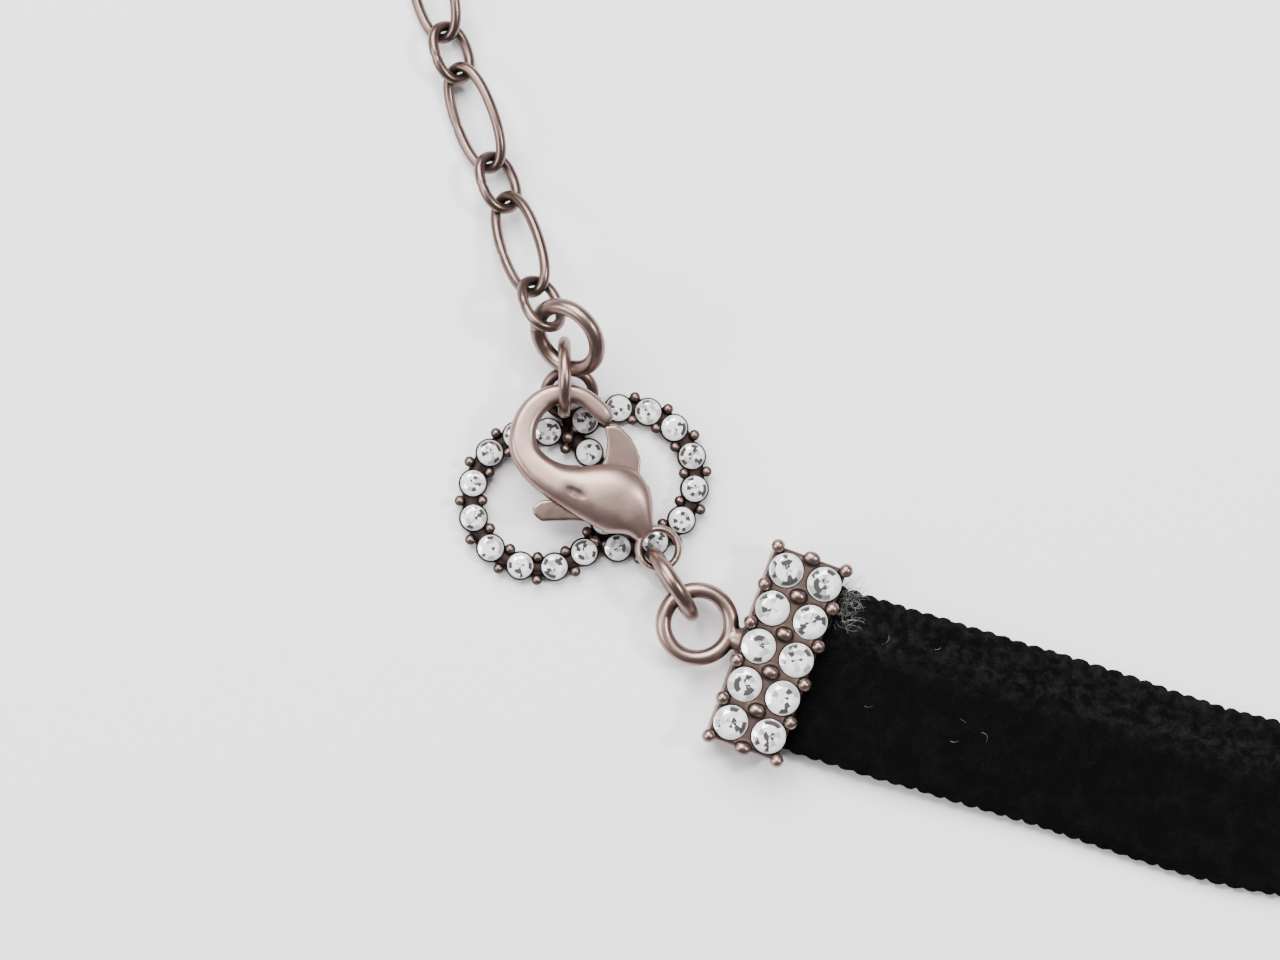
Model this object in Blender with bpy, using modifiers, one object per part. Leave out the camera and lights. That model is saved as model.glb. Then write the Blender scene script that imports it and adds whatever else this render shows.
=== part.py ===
"""Choker necklace: a velvet ribbon crimped into two stone-set end caps, which a
lobster clasp and an extender chain close. A double-ring charm set with stones
hangs at the clasp. Metres, +Z up, lying on z = 0 with its middle at the origin."""

import bpy
import bmesh
from math import cos, pi, radians, sin
from mathutils import Matrix, Vector

# Velvet ribbon
RIBBON_WIDTH = 0.0100
RIBBON_THICKNESS = 0.0011
RIBBON_STEP = 0.0030
FLAT_RUN = 0.034
FAR_FLAT_RUN = 0.010
TWIST_RUN = 0.042
RIBBON_LIFT = 0.00005

# End caps: a crimped sleeve with two rows of stones and a soldered ring
CAP_DEPTH = 0.0044
CAP_EDGE_BEVEL = 0.0003
CAP_FLOOR = 0.00055
CAP_ROOF = 0.00105
CAP_END_WALL = 0.0010
POCKET_FIT = 0.00015
POCKET_SIDE_FIT = 0.0003
STONE_DIAMETER = 0.0020
STONE_GAP = 0.00034
STONE_ROWS = 2
STONES_PER_ROW = 5
STONE_PROUD = 0.00004
STONE_FIT = 0.00006
SEAT_DROP = 0.00012
EDGE_BEAD_DIAMETER = 0.00082
GRAIN_LENGTH = 0.00105
GRAIN_WIDTH = 0.0008
CAP_RING_DIAMETER = 0.0049
CAP_RING_WIRE = 0.00095
CAP_RING_HEIGHT = 0.0019
CAP_NECK = 0.00024

# Cut stones, as shares of the diameter
TABLE_SHARE = 0.56
CROWN_SHARE = 0.16
PAVILION_SHARE = 0.35
STONE_FACETS = 10

# Jump rings at the caps
JUMP_RING_DIAMETER = 0.0050
JUMP_RING_WIRE = 0.0009
JUMP_RING_PLAY = 0.00035
FLOOR_GAP = 0.0001

# Lobster clasp
CLASP_LENGTH = 0.0120
CLASP_THICKNESS = 0.0027
CLASP_HEIGHT = 0.00295
CLASP_TURN = radians(135)
TAIL_RING_DIAMETER = 0.00275
TAIL_RING_HOLE = 0.0019
TAIL_RING_DEPTH = 0.0009
LEVER_THICKNESS = 0.0009
LEVER_FIT = 0.00015
PIN_DIAMETER = 0.0008
PIN_FIT = 0.0001

# Rings that hang on the hook of the clasp
HOOK_RING_DIAMETER = 0.00477
HOOK_RING_WIRE = 0.00073
HOOK_RING_GAP = 0.00017
CHAIN_RING_DIAMETER = 0.0050
CHAIN_RING_WIRE = 0.00095

# Extender chain
CHAIN_WIRE = 0.00062
LONG_LINK = 0.0069
LONG_LINK_WIDTH = 0.0033
SHORT_LINK = 0.0039
SHORT_LINK_WIDTH = 0.0029
LINK_GAP = 0.0001
LINK_COUNT = 17
LINK_ROLL = radians(35)
LINK_ROUNDNESS = 2.3

# Double-ring charm
CHARM_RING_RADIUS = 0.0040
CHARM_RIGHT_RADIUS = 0.0041
CHARM_RING_SPACING = 0.00516
CHARM_BAND_WIDTH = 0.00145
CHARM_BAND_HEIGHT = 0.0009
CHARM_STONE_DIAMETER = 0.0015
CHARM_STONES = 13
CHARM_BEAD_DIAMETER = 0.00058
CHARM_BAIL_DIAMETER = 0.00344
CHARM_BAIL_WIRE = 0.00066
CHARM_LUG_DIAMETER = 0.0009

# Rounding of the meshes
RING_STEPS = 16
LINK_STEPS = 14
SEAT_STEPS = 12
SECTION_SIDES = 12
BEAD_SIDES = 6
BEAD_RINGS = 4

# Clasp body, from the tip of the hook round to the tail ring: place along and
# across the clasp from the tail ring, and width, as shares of the clasp's
# length, and thickness as a share of the clasp's thickness
CLASP_SECTIONS = (
    # along, across, width, thickness
    (0.615, 0.262, 0.058, 0.26),
    (0.639, 0.269, 0.087, 0.37),
    (0.699, 0.271, 0.091, 0.41),
    (0.762, 0.265, 0.089, 0.44),
    (0.807, 0.246, 0.085, 0.45),
    (0.851, 0.209, 0.094, 0.46),
    (0.889, 0.159, 0.100, 0.48),
    (0.906, 0.088, 0.115, 0.52),
    (0.901, 0.014, 0.119, 0.55),
    (0.869, -0.057, 0.128, 0.59),
    (0.823, -0.107, 0.142, 0.63),
    (0.770, -0.135, 0.144, 0.67),
    (0.698, -0.145, 0.153, 0.73),
    (0.619, -0.136, 0.170, 0.79),
    (0.536, -0.111, 0.206, 0.87),
    (0.456, -0.062, 0.271, 0.94),
    (0.377, -0.003, 0.339, 1.00),
    (0.284, 0.062, 0.368, 0.96),
    (0.206, 0.079, 0.262, 0.78),
    (0.144, 0.065, 0.174, 0.56),
    (0.086, 0.041, 0.097, 0.33),
)
HOOK_SECTION = 5

# Lever outline, gate tip first, and the slot that it swings in, in the same shares
LEVER_OUTLINE = (
    # along, across
    (0.600, 0.232),
    (0.566, 0.274),
    (0.528, 0.284),
    (0.473, 0.284),
    (0.411, 0.264),
    (0.363, 0.243),
    (0.301, 0.168),
    (0.267, 0.065),
    (0.243, -0.041),
    (0.267, -0.099),
    (0.386, -0.195),
    (0.491, -0.308),
    (0.541, -0.312),
    (0.569, -0.291),
    (0.567, -0.248),
    (0.493, -0.140),
    (0.449, -0.048),
    (0.445, 0.024),
    (0.491, 0.129),
    (0.541, 0.193),
)
SLOT_OUTLINE = (
    # along, across
    (0.610, 0.079),
    (0.329, 0.360),
    (0.240, 0.271),
    (0.257, 0.171),
    (0.230, 0.062),
    (0.216, -0.048),
    (0.247, -0.120),
    (0.295, -0.271),
    (0.500, -0.476),
    (0.658, -0.319),
    (0.493, -0.051),
)
PIVOT = (0.325, -0.041)

# How the rings lie: heading and rise of the line from one centre to the next,
# and the play that is left in the ring that holds
JUMP_RING_HEADING = radians(122.4)
TAIL_HEADING = radians(112.1)
CHAIN_RING_DIRECTION = (0.06, 0.88, 0.468)
CHAIN_RING_PLAY = 0.00069
CHAIN_RING_TILT = radians(49)
CHAIN_RING_HIGH_SIDE = radians(43)
BAIL_DIRECTION = (0.17, -0.436, -0.883)
BAIL_PLAY = 0.00086
BAIL_TILT = radians(26)
BAIL_HIGH_SIDE = radians(91)
LUG_OFFSET = (0.24, 0.68)
CHARM_HEADING = radians(14.4)
FIRST_LINK_DIRECTION = (-0.596, 0.788, -0.144)
FIRST_LINK_PLAY = 0.00038

# Chain course: heading and fall of the links from the clasp on. The last row
# holds for the links that follow, which bend round by the same turn each, and
# the last links rise to the ring of the second cap
CHAIN_COURSE = (
    # heading, fall
    (108.5, 26.0),
    (109.0, 18.0),
    (109.5, 5.0),
    (110.0, 2.0),
    (108.5, 0.0),
)
CHAIN_BEND = 3.5
CHAIN_END_RISE = (4.0, 9.0)
LAST_RING_TILT = radians(35)
LAST_RING_PLAY = 0.0006

# Ribbon course in the plane, by hand, between the two caps
CLASP_CAP_PLACE = (0.00792, -0.01005)
CLASP_CAP_HEADING = radians(-20.2)
CHAIN_CAP_BEND = radians(-6)
RIBBON_COURSE = (
    # x, y
    (0.0242, -0.0152),
    (0.0372, -0.0191),
    (0.0530, -0.0205),
    (0.0703, -0.0163),
    (0.0878, -0.0058),
    (0.1011, 0.0096),
    (0.1091, 0.0283),
    (0.1108, 0.0485),
    (0.1063, 0.0683),
    (0.0958, 0.0858),
    (0.0804, 0.0991),
    (0.0617, 0.1071),
    (0.0415, 0.1088),
    (0.0217, 0.1043),
)

SILVER = (0.50, 0.45, 0.42)
CRYSTAL = (0.86, 0.88, 0.90)
BLACK_VELVET = (0.008, 0.008, 0.009)

# Sizes that follow from the ones above
STONE_PITCH = STONE_DIAMETER + STONE_GAP
CAP_WIDTH = STONES_PER_ROW * STONE_PITCH + 0.0001
POCKET_HEIGHT = RIBBON_THICKNESS + 2 * POCKET_FIT
RIBBON_MOUTH_HEIGHT = CAP_FLOOR + POCKET_HEIGHT / 2
CAP_HEIGHT = CAP_FLOOR + POCKET_HEIGHT + CAP_ROOF
POCKET_START = -CAP_DEPTH / 2 + CAP_END_WALL
JUMP_RING_HOLE = JUMP_RING_DIAMETER / 2 - JUMP_RING_WIRE
CAP_RING_RADIUS = (CAP_RING_DIAMETER - CAP_RING_WIRE) / 2
CAP_RING_PLACE = -(CAP_DEPTH / 2 + CAP_NECK + CAP_RING_DIAMETER / 2)
TAIL_RING_RADIUS = (TAIL_RING_DIAMETER + TAIL_RING_HOLE) / 4
TAIL_RING_WALL = (TAIL_RING_DIAMETER - TAIL_RING_HOLE) / 2
HOOK_RING_RADIUS = (HOOK_RING_DIAMETER - HOOK_RING_WIRE) / 2
CHAIN_RING_RADIUS = (CHAIN_RING_DIAMETER - CHAIN_RING_WIRE) / 2
BAIL_RADIUS = (CHARM_BAIL_DIAMETER - CHARM_BAIL_WIRE) / 2
JUMP_RING_RADIUS = (JUMP_RING_DIAMETER - JUMP_RING_WIRE) / 2


def collection(name):
    """Make a collection in the scene."""
    made = bpy.data.collections.new(name)
    bpy.context.scene.collection.children.link(made)
    return made


def finish(name, colour, roughness, metallic):
    """Give one piece its own material."""
    made = bpy.data.materials.new(name)
    made.use_nodes = True
    shader = made.node_tree.nodes["Principled BSDF"]
    shader.inputs["Base Color"].default_value = (*colour, 1.0)
    shader.inputs["Roughness"].default_value = roughness
    shader.inputs["Metallic"].default_value = metallic
    return made


def silver(name):
    return finish(name, SILVER, 0.34, 1.0)


def crystal(name):
    return finish(name, CRYSTAL, 0.06, 0.0)


def part(name, data, material, place):
    """Add a sub-part with its own origin and turn, under the empty that centres the necklace."""
    made = bpy.data.objects.new(name, data)
    parts.objects.link(made)
    made.parent = centre_mark
    made.location = place.to_translation()
    made.rotation_euler = place.to_euler()
    data.materials.clear()
    data.materials.append(material)
    return made


def helper(name, data, owner):
    """Add a shape that is joined to or cut from its owner and moves with it."""
    made = bpy.data.objects.new(name, data)
    cutters.objects.link(made)
    made.parent = owner
    made.hide_render = True
    made.display_type = 'WIRE'
    return made


def boolean(owner, tool, operation, solver='EXACT'):
    step = owner.modifiers.new(tool.name, 'BOOLEAN')
    step.object = tool
    step.operation = operation
    step.solver = solver
    if solver == 'EXACT':
        step.use_self = operation == 'UNION'


def mesh_of(bm, name):
    bmesh.ops.recalc_face_normals(bm, faces=bm.faces)
    data = bpy.data.meshes.new(name)
    bm.to_mesh(data)
    bm.free()
    data.shade_smooth()
    data.set_sharp_from_angle(angle=radians(40))
    return data


def add_box(bm, low, high):
    size = Vector(high) - Vector(low)
    middle = (Vector(high) + Vector(low)) / 2
    bmesh.ops.create_cube(bm, size=1.0, matrix=Matrix.LocRotScale(middle, None, size))


def add_bead(bm, place, size):
    """A small round or oval bead, of the given three diameters."""
    shape = Matrix.LocRotScale(Vector(place), None, Vector(size))
    bmesh.ops.create_uvsphere(bm, u_segments=BEAD_SIDES, v_segments=BEAD_RINGS, radius=0.5, matrix=shape)


def add_turned(bm, profile, steps, place=(0, 0, 0)):
    """Spin a profile of (radius, height) points, whose ends lie on the axis."""
    points = [bm.verts.new((radius, 0, height)) for radius, height in profile]
    edges = [bm.edges.new(pair) for pair in zip(points, points[1:])]
    made = bmesh.ops.spin(bm, geom=points + edges, cent=(0, 0, 0), axis=(0, 0, 1),
                          angle=2 * pi, steps=steps, use_merge=False)
    corners = {corner for edge in edges for corner in edge.verts}
    todo = list(edges)
    faces = {face for edge in todo for face in edge.link_faces}
    while faces:
        face = faces.pop()
        for corner in face.verts:
            if corner not in corners:
                corners.add(corner)
                faces.update(corner.link_faces)
    bmesh.ops.remove_doubles(bm, verts=list(corners), dist=1e-7)
    moved = [corner for corner in corners if corner.is_valid]
    bmesh.ops.translate(bm, verts=moved, vec=Vector(place))
    return made


def add_stone(bm, diameter, place, facets):
    """A cut stone: a flat table, a ring of crown facets and a pointed back."""
    profile = (
        (0, CROWN_SHARE * diameter),
        (TABLE_SHARE * diameter / 2, CROWN_SHARE * diameter),
        (diameter / 2, 0),
        (0, -PAVILION_SHARE * diameter),
    )
    add_turned(bm, profile, facets, place)


def ring_points(radius, steps, start=0.0, sweep=2 * pi, closed=True):
    count = steps if closed else steps + 1
    return [Vector((radius * cos(start + sweep * i / steps),
                    radius * sin(start + sweep * i / steps), 0)) for i in range(count)]


def link_points(length, width):
    """The middle line of a link's wire: an oval a little fuller than an ellipse."""
    long_half = (length - CHAIN_WIRE) / 2
    wide_half = (width - CHAIN_WIRE) / 2
    power = 2 / LINK_ROUNDNESS

    def full(value, half):
        return half * abs(value) ** power * (1 if value > 0 else -1)

    turns = [2 * pi * (i + 0.5) / LINK_STEPS for i in range(LINK_STEPS)]
    return [Vector((full(cos(t), long_half), full(sin(t), wide_half), 0)) for t in turns]


def wire_curve(name, points, wire, closed=True):
    """A bent wire, six-sided."""
    data = bpy.data.curves.new(name, 'CURVE')
    data.dimensions = '3D'
    data.bevel_depth = wire / 2
    data.bevel_resolution = 1
    data.use_fill_caps = not closed
    spline = data.splines.new('POLY')
    spline.points.add(len(points) - 1)
    for slot, point in zip(spline.points, points):
        slot.co = (*point, 1.0)
    spline.use_cyclic_u = closed
    return data


def flat_outline(name, outline, thickness):
    """A plate with the outline given, middled on z = 0."""
    data = bpy.data.curves.new(name, 'CURVE')
    data.dimensions = '2D'
    data.fill_mode = 'BOTH'
    data.extrude = thickness / 2
    spline = data.splines.new('POLY')
    spline.points.add(len(outline) - 1)
    for slot, (x, y) in zip(spline.points, outline):
        slot.co = (x, y, 0, 1.0)
    spline.use_cyclic_u = True
    return data


def as_mesh(data):
    """Turn a curve into a mesh with its caps welded, for a Boolean."""
    guide = bpy.data.objects.new(data.name, data)
    cutters.objects.link(guide)
    bpy.context.view_layer.update()
    ready = guide.evaluated_get(bpy.context.evaluated_depsgraph_get())
    bm = bmesh.new()
    made = bpy.data.meshes.new_from_object(ready)
    bm.from_mesh(made)
    bmesh.ops.remove_doubles(bm, verts=bm.verts, dist=1e-6)
    bpy.data.objects.remove(guide)
    return mesh_of(bm, data.name)


def tilted(tilt, high_side):
    """Turn of a flat ring whose side towards a heading is lifted."""
    normal = Vector((-sin(tilt) * cos(high_side), -sin(tilt) * sin(high_side), cos(tilt)))
    return normal.to_track_quat('Z', 'X').to_matrix().to_4x4()


def upright(heading):
    """Turn of a ring that stands on edge along a heading."""
    return Matrix.Rotation(heading, 4, 'Z') @ Matrix.Rotation(pi / 2, 4, 'X')


def in_plan(heading, length):
    return Vector((length * cos(heading), length * sin(heading), 0))


def end_cap(name, place, stone_prefix):
    """A sleeve with a pocket for the ribbon at +X, its ring at -X and its stones on top."""
    half = CAP_DEPTH / 2
    bm = bmesh.new()
    add_box(bm, (-half, -CAP_WIDTH / 2, 0), (half, CAP_WIDTH / 2, CAP_HEIGHT))
    bmesh.ops.bevel(bm, geom=bm.edges, offset=CAP_EDGE_BEVEL, segments=1, affect='EDGES')
    cap = part(name, mesh_of(bm, name), silver(name), place)

    bm = bmesh.new()
    pocket_half = RIBBON_WIDTH / 2 + POCKET_SIDE_FIT
    add_box(bm, (POCKET_START, -pocket_half, CAP_FLOOR),
            (half + CAP_DEPTH, pocket_half, CAP_FLOOR + POCKET_HEIGHT))
    boolean(cap, helper(name + "_pocket", mesh_of(bm, name), cap), 'DIFFERENCE')

    row_offset = (STONE_ROWS - 1) / 2
    column_offset = (STONES_PER_ROW - 1) / 2
    bm = bmesh.new()
    for i in range(STONES_PER_ROW + 1):
        v = (i - STONES_PER_ROW / 2) * STONE_PITCH
        for side in (-1, 1):
            edge = side * (half - EDGE_BEAD_DIAMETER / 8)
            add_bead(bm, (edge, v, CAP_HEIGHT + EDGE_BEAD_DIAMETER / 8), [EDGE_BEAD_DIAMETER] * 3)
        add_bead(bm, (0, v, CAP_HEIGHT), (GRAIN_LENGTH, GRAIN_WIDTH, GRAIN_WIDTH))
    bmesh.ops.create_cone(
        bm, cap_ends=True, segments=8, radius1=CAP_RING_WIRE / 2, radius2=CAP_RING_WIRE,
        depth=CAP_NECK + CAP_RING_WIRE,
        matrix=Matrix.Translation((-half - CAP_NECK / 2, 0, CAP_RING_HEIGHT))
        @ Matrix.Rotation(pi / 2, 4, 'Y'))
    boolean(cap, helper(name + "_grains", mesh_of(bm, name), cap), 'UNION')

    ring = as_mesh(wire_curve(name, ring_points(CAP_RING_RADIUS, RING_STEPS), CAP_RING_WIRE))
    ring_tool = helper(name + "_ring", ring, cap)
    ring_tool.location = (CAP_RING_PLACE, 0, CAP_RING_HEIGHT)
    boolean(cap, ring_tool, 'UNION')

    girdle = CAP_HEIGHT + STONE_PROUD
    seat_point = girdle - PAVILION_SHARE * STONE_DIAMETER - SEAT_DROP
    seat_radius = STONE_DIAMETER / 2 + STONE_FIT
    seat_cone = seat_radius * 2 * PAVILION_SHARE
    seats = bmesh.new()
    number = 0
    for row in range(STONE_ROWS):
        for column in range(STONES_PER_ROW):
            x = (row - row_offset) * STONE_PITCH
            y = (column - column_offset) * STONE_PITCH
            number += 1
            profile = ((0, seat_point), (seat_radius, seat_point + seat_cone),
                       (seat_radius, CAP_HEIGHT + STONE_DIAMETER), (0, CAP_HEIGHT + STONE_DIAMETER))
            add_turned(seats, profile, SEAT_STEPS, (x, y, 0))
            bm = bmesh.new()
            add_stone(bm, STONE_DIAMETER, (0, 0, 0), STONE_FACETS)
            stone = f"{stone_prefix}_{number:02d}"
            data = mesh_of(bm, stone)
            data.shade_flat()
            part(stone, data, crystal(stone), place @ Matrix.Translation((x, y, girdle)))
    boolean(cap, helper(name + "_seats", mesh_of(seats, name), cap), 'DIFFERENCE')
    return cap


def on_clasp(along, across):
    """A place in the clasp's own plane from its shares: X along, Y across."""
    return Vector((along * CLASP_LENGTH, -across * CLASP_LENGTH, 0))


def clasp_body(place):
    """The hook and the body as one loft through oval sections, with its slot, pin and tail ring."""
    spine = [on_clasp(row[0], row[1]) for row in CLASP_SECTIONS]
    bm = bmesh.new()
    loops = []
    for i, (_, _, width, thickness) in enumerate(CLASP_SECTIONS):
        before = spine[max(i - 1, 0)]
        after = spine[min(i + 1, len(spine) - 1)]
        side = (after - before).normalized().cross(Vector((0, 0, 1)))
        wide = side * width * CLASP_LENGTH / 2
        high = Vector((0, 0, thickness * CLASP_THICKNESS / 2))
        turns = [2 * pi * (k + 0.5) / SECTION_SIDES for k in range(SECTION_SIDES)]
        loops.append([bm.verts.new(spine[i] + wide * cos(t) + high * sin(t)) for t in turns])
    for one, two in zip(loops, loops[1:]):
        for k in range(SECTION_SIDES):
            nxt = (k + 1) % SECTION_SIDES
            bm.faces.new((one[k], one[nxt], two[nxt], two[k]))
    bm.faces.new(loops[0])
    bm.faces.new(loops[-1])
    body = part("clasp_body", mesh_of(bm, "clasp_body"), silver("clasp_body"), place)

    slot = [on_clasp(*row)[:2] for row in SLOT_OUTLINE]
    slot_data = as_mesh(flat_outline("clasp_slot", slot, LEVER_THICKNESS + 2 * LEVER_FIT))
    boolean(body, helper("clasp_slot", slot_data, body), 'DIFFERENCE')

    bm = bmesh.new()
    bmesh.ops.create_cone(bm, cap_ends=True, segments=12, radius1=PIN_DIAMETER / 2,
                          radius2=PIN_DIAMETER / 2, depth=CLASP_THICKNESS * 0.75)
    pin = helper("clasp_pin", mesh_of(bm, "clasp_pin"), body)
    pin.location = on_clasp(*PIVOT)
    boolean(body, pin, 'UNION')

    half_wall = TAIL_RING_WALL / 2
    profile = [(TAIL_RING_RADIUS + half_wall * cos(t), TAIL_RING_DEPTH / 2 * sin(t))
               for t in (2 * pi * k / 8 for k in range(8))]
    bm = bmesh.new()
    rows = []
    for point in ring_points(1.0, RING_STEPS):
        rows.append([bm.verts.new((point.x * r, point.y * r, z)) for r, z in profile])
    for one, two in zip(rows, rows[1:] + rows[:1]):
        for k in range(8):
            nxt = (k + 1) % 8
            bm.faces.new((one[k], one[nxt], two[nxt], two[k]))
    boolean(body, helper("clasp_tail_ring", mesh_of(bm, "clasp_tail_ring"), body), 'UNION')


def clasp_lever(place):
    """Gate and thumb tab in one plate that turns on the pin."""
    pivot = on_clasp(*PIVOT)
    outline = [(on_clasp(*row) - pivot)[:2] for row in LEVER_OUTLINE]
    data = as_mesh(flat_outline("clasp_lever", outline, LEVER_THICKNESS))
    lever = part("clasp_lever", data, silver("clasp_lever"), place @ Matrix.Translation(pivot))
    bm = bmesh.new()
    bmesh.ops.create_cone(bm, cap_ends=True, segments=SEAT_STEPS, radius1=PIN_DIAMETER / 2 + PIN_FIT,
                          radius2=PIN_DIAMETER / 2 + PIN_FIT, depth=LEVER_THICKNESS * 2)
    boolean(lever, helper("clasp_lever_hole", mesh_of(bm, "clasp_lever_hole"), lever), 'DIFFERENCE')


def ring(name, radius, wire, place):
    data = wire_curve(name, ring_points(radius, RING_STEPS), wire)
    part(name, data, silver(name), place)


def charm_crossing(side):
    """Where the charm's two rings cross, in the charm's own frame, at +Y or -Y."""
    reach = CHARM_RING_SPACING ** 2 + CHARM_RIGHT_RADIUS ** 2 - CHARM_RING_RADIUS ** 2
    back = reach / (2 * CHARM_RING_SPACING)
    rise = (CHARM_RIGHT_RADIUS ** 2 - back ** 2) ** 0.5
    return Vector((CHARM_RING_SPACING - back, side * rise, 0))


def charm_lug():
    """The small lug that joins the bail ring to the upper crossing."""
    x, y = LUG_OFFSET
    return charm_crossing(1) + Vector((x * CHARM_BAND_WIDTH, y * CHARM_BAND_WIDTH, CHARM_BAND_HEIGHT / 2))


def charm(place, bail_place):
    """Two rings set with stones that cross, and a soldered bail ring, in one solid."""
    left = Vector((0, 0, 0))
    right = Vector((CHARM_RING_SPACING, 0, 0))
    meeting = charm_crossing(1) - right
    open_half = meeting.angle(Vector((1, 0, 0)))

    flatten = Matrix.Diagonal((1, 1, CHARM_BAND_HEIGHT / CHARM_BAND_WIDTH, 1))
    mid_height = CHARM_BAND_HEIGHT / 2
    lift = Matrix.Translation((0, 0, mid_height))
    full = as_mesh(wire_curve("charm", ring_points(CHARM_RING_RADIUS, 2 * RING_STEPS), CHARM_BAND_WIDTH))
    full.transform(lift @ flatten)
    made = part("charm", full, silver("charm"), place)

    arc = ring_points(CHARM_RIGHT_RADIUS, 22, -open_half, 2 * open_half, closed=False)
    arc_data = as_mesh(wire_curve("charm_right", arc, CHARM_BAND_WIDTH, closed=False))
    arc_data.transform(Matrix.Translation(right) @ lift @ flatten)
    boolean(made, helper("charm_right_ring", arc_data, made), 'UNION', 'MANIFOLD')

    pitch = 2 * pi / CHARM_STONES
    girdle = CHARM_BAND_HEIGHT + STONE_PROUD
    bead = CHARM_BEAD_DIAMETER
    bead_height = CHARM_BAND_HEIGHT - bead / 5
    stones = bmesh.new()
    beads = bmesh.new()
    for middle, radius, first, count in ((left, CHARM_RING_RADIUS, 0.5, CHARM_STONES),
                                         (right, CHARM_RIGHT_RADIUS, 0.0, CHARM_STONES)):
        for i in range(count):
            turn = pitch * (i + first)
            spot = middle + in_plan(turn, radius)
            between = turn + pitch / 2
            hidden = middle is right and (spot - left).length < CHARM_RING_RADIUS + CHARM_STONE_DIAMETER
            if not hidden:
                add_stone(stones, CHARM_STONE_DIAMETER, spot + Vector((0, 0, girdle)), 8)
            for side in (-1, 1):
                off = radius + side * (CHARM_BAND_WIDTH / 2 - bead / 7)
                bead_spot = middle + in_plan(between, off)
                if middle is right and (bead_spot - left).length < CHARM_RING_RADIUS:
                    continue
                add_bead(beads, bead_spot + Vector((0, 0, bead_height)), [bead] * 3)
    for side in (-1, 1):
        add_bead(beads, charm_crossing(side) + Vector((0, 0, girdle)), [bead * 1.2] * 3)
    add_bead(beads, charm_lug(), [CHARM_LUG_DIAMETER] * 3)
    boolean(made, helper("charm_beads", mesh_of(beads, "charm_beads"), made), 'UNION', 'MANIFOLD')
    boolean(made, helper("charm_stones", mesh_of(stones, "charm_stones"), made), 'UNION', 'MANIFOLD')

    bail = as_mesh(wire_curve("charm_bail", ring_points(BAIL_RADIUS, RING_STEPS), CHARM_BAIL_WIRE))
    tool = helper("charm_bail", bail, made)
    tool.matrix_local = place.inverted() @ bail_place
    boolean(made, tool, 'UNION', 'MANIFOLD')


def smooth_course(points, step):
    """Evenly spaced points along a smooth curve through the points given."""
    dense = []
    ends = [points[0] * 2 - points[1]] + points + [points[-1] * 2 - points[-2]]
    for p0, p1, p2, p3 in zip(ends, ends[1:], ends[2:], ends[3:]):
        pieces = max(2, round((p2 - p1).length / (step / 8)))
        for i in range(pieces):
            t = i / pieces
            dense.append(0.5 * (2 * p1 + (p2 - p0) * t + (2 * p0 - 5 * p1 + 4 * p2 - p3) * t ** 2
                                + (3 * p1 - p0 - 3 * p2 + p3) * t ** 3))
    dense.append(points[-1])
    lengths = [0.0]
    for one, two in zip(dense, dense[1:]):
        lengths.append(lengths[-1] + (two - one).length)
    count = max(2, round(lengths[-1] / step))
    even = []
    k = 0
    for i in range(count + 1):
        target = lengths[-1] * i / count
        while k < len(dense) - 2 and lengths[k + 1] < target:
            k += 1
        share = (target - lengths[k]) / (lengths[k + 1] - lengths[k])
        even.append(dense[k].lerp(dense[k + 1], share))
    return even, lengths[-1]


def ease(value):
    value = min(max(value, 0.0), 1.0)
    return value * value * (3 - 2 * value)


def velvet_ribbon(start_cap, end_cap_place):
    """An even strip: flat at both caps, turned up on its edge on the way round."""
    inside = POCKET_START + POCKET_SIDE_FIT
    outside = CAP_DEPTH

    def at_cap(place, x):
        return (place @ Vector((x, 0, 0))).to_2d()

    route = [at_cap(start_cap, inside), at_cap(start_cap, outside)]
    route += [Vector(point) for point in RIBBON_COURSE]
    route += [at_cap(end_cap_place, x) for x in (FAR_FLAT_RUN, outside, inside)]
    course, length = smooth_course(route, RIBBON_STEP)
    rows = len(course)
    bpy.ops.mesh.primitive_grid_add(x_subdivisions=rows - 1, y_subdivisions=2, size=2)
    strip = bpy.context.object
    data = strip.data
    bpy.data.objects.remove(strip)
    for corner in data.vertices:
        i = round((corner.co.x + 1) / 2 * (rows - 1))
        run = length * i / (rows - 1)
        from_end = min(run, length - run)
        ahead = (course[min(i + 1, rows - 1)] - course[max(i - 1, 0)]).normalized()
        flat = FLAT_RUN if run < length / 2 else FAR_FLAT_RUN
        roll = pi / 2 * ease((from_end - flat) / TWIST_RUN)
        left = Vector((-ahead.y, ahead.x, 0))
        across = left * cos(roll) + Vector((0, 0, sin(roll)))
        resting = RIBBON_WIDTH / 2 * sin(roll) + RIBBON_THICKNESS / 2 * cos(roll) + RIBBON_LIFT
        drop = RIBBON_MOUTH_HEIGHT - RIBBON_THICKNESS / 2 - RIBBON_LIFT
        leaving = (from_end - CAP_DEPTH) / (2 * RIBBON_WIDTH)
        height = resting + drop * (1 - ease(leaving))
        corner.co = course[i].to_3d() + Vector((0, 0, height)) + across * corner.co.y * RIBBON_WIDTH / 2
    made = part("velvet_ribbon", data, finish("velvet_ribbon", BLACK_VELVET, 0.95, 0.0), Matrix())
    wall = made.modifiers.new("thickness", 'SOLIDIFY')
    wall.thickness = RIBBON_THICKNESS
    wall.offset = 0
    return length


def link_frame(middle, heading, fall, roll):
    """Turn and place of a link: X along it, Y across its face."""
    ahead = Vector((cos(fall) * cos(heading), cos(fall) * sin(heading), -sin(fall)))
    flat = Vector((0, 0, 1)).cross(ahead).normalized()
    lifted = ahead.cross(flat)
    across = flat * cos(roll) + lifted * sin(roll)
    turn = Matrix((ahead, across, ahead.cross(across))).transposed().to_4x4()
    return Matrix.Translation(middle) @ turn


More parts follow.
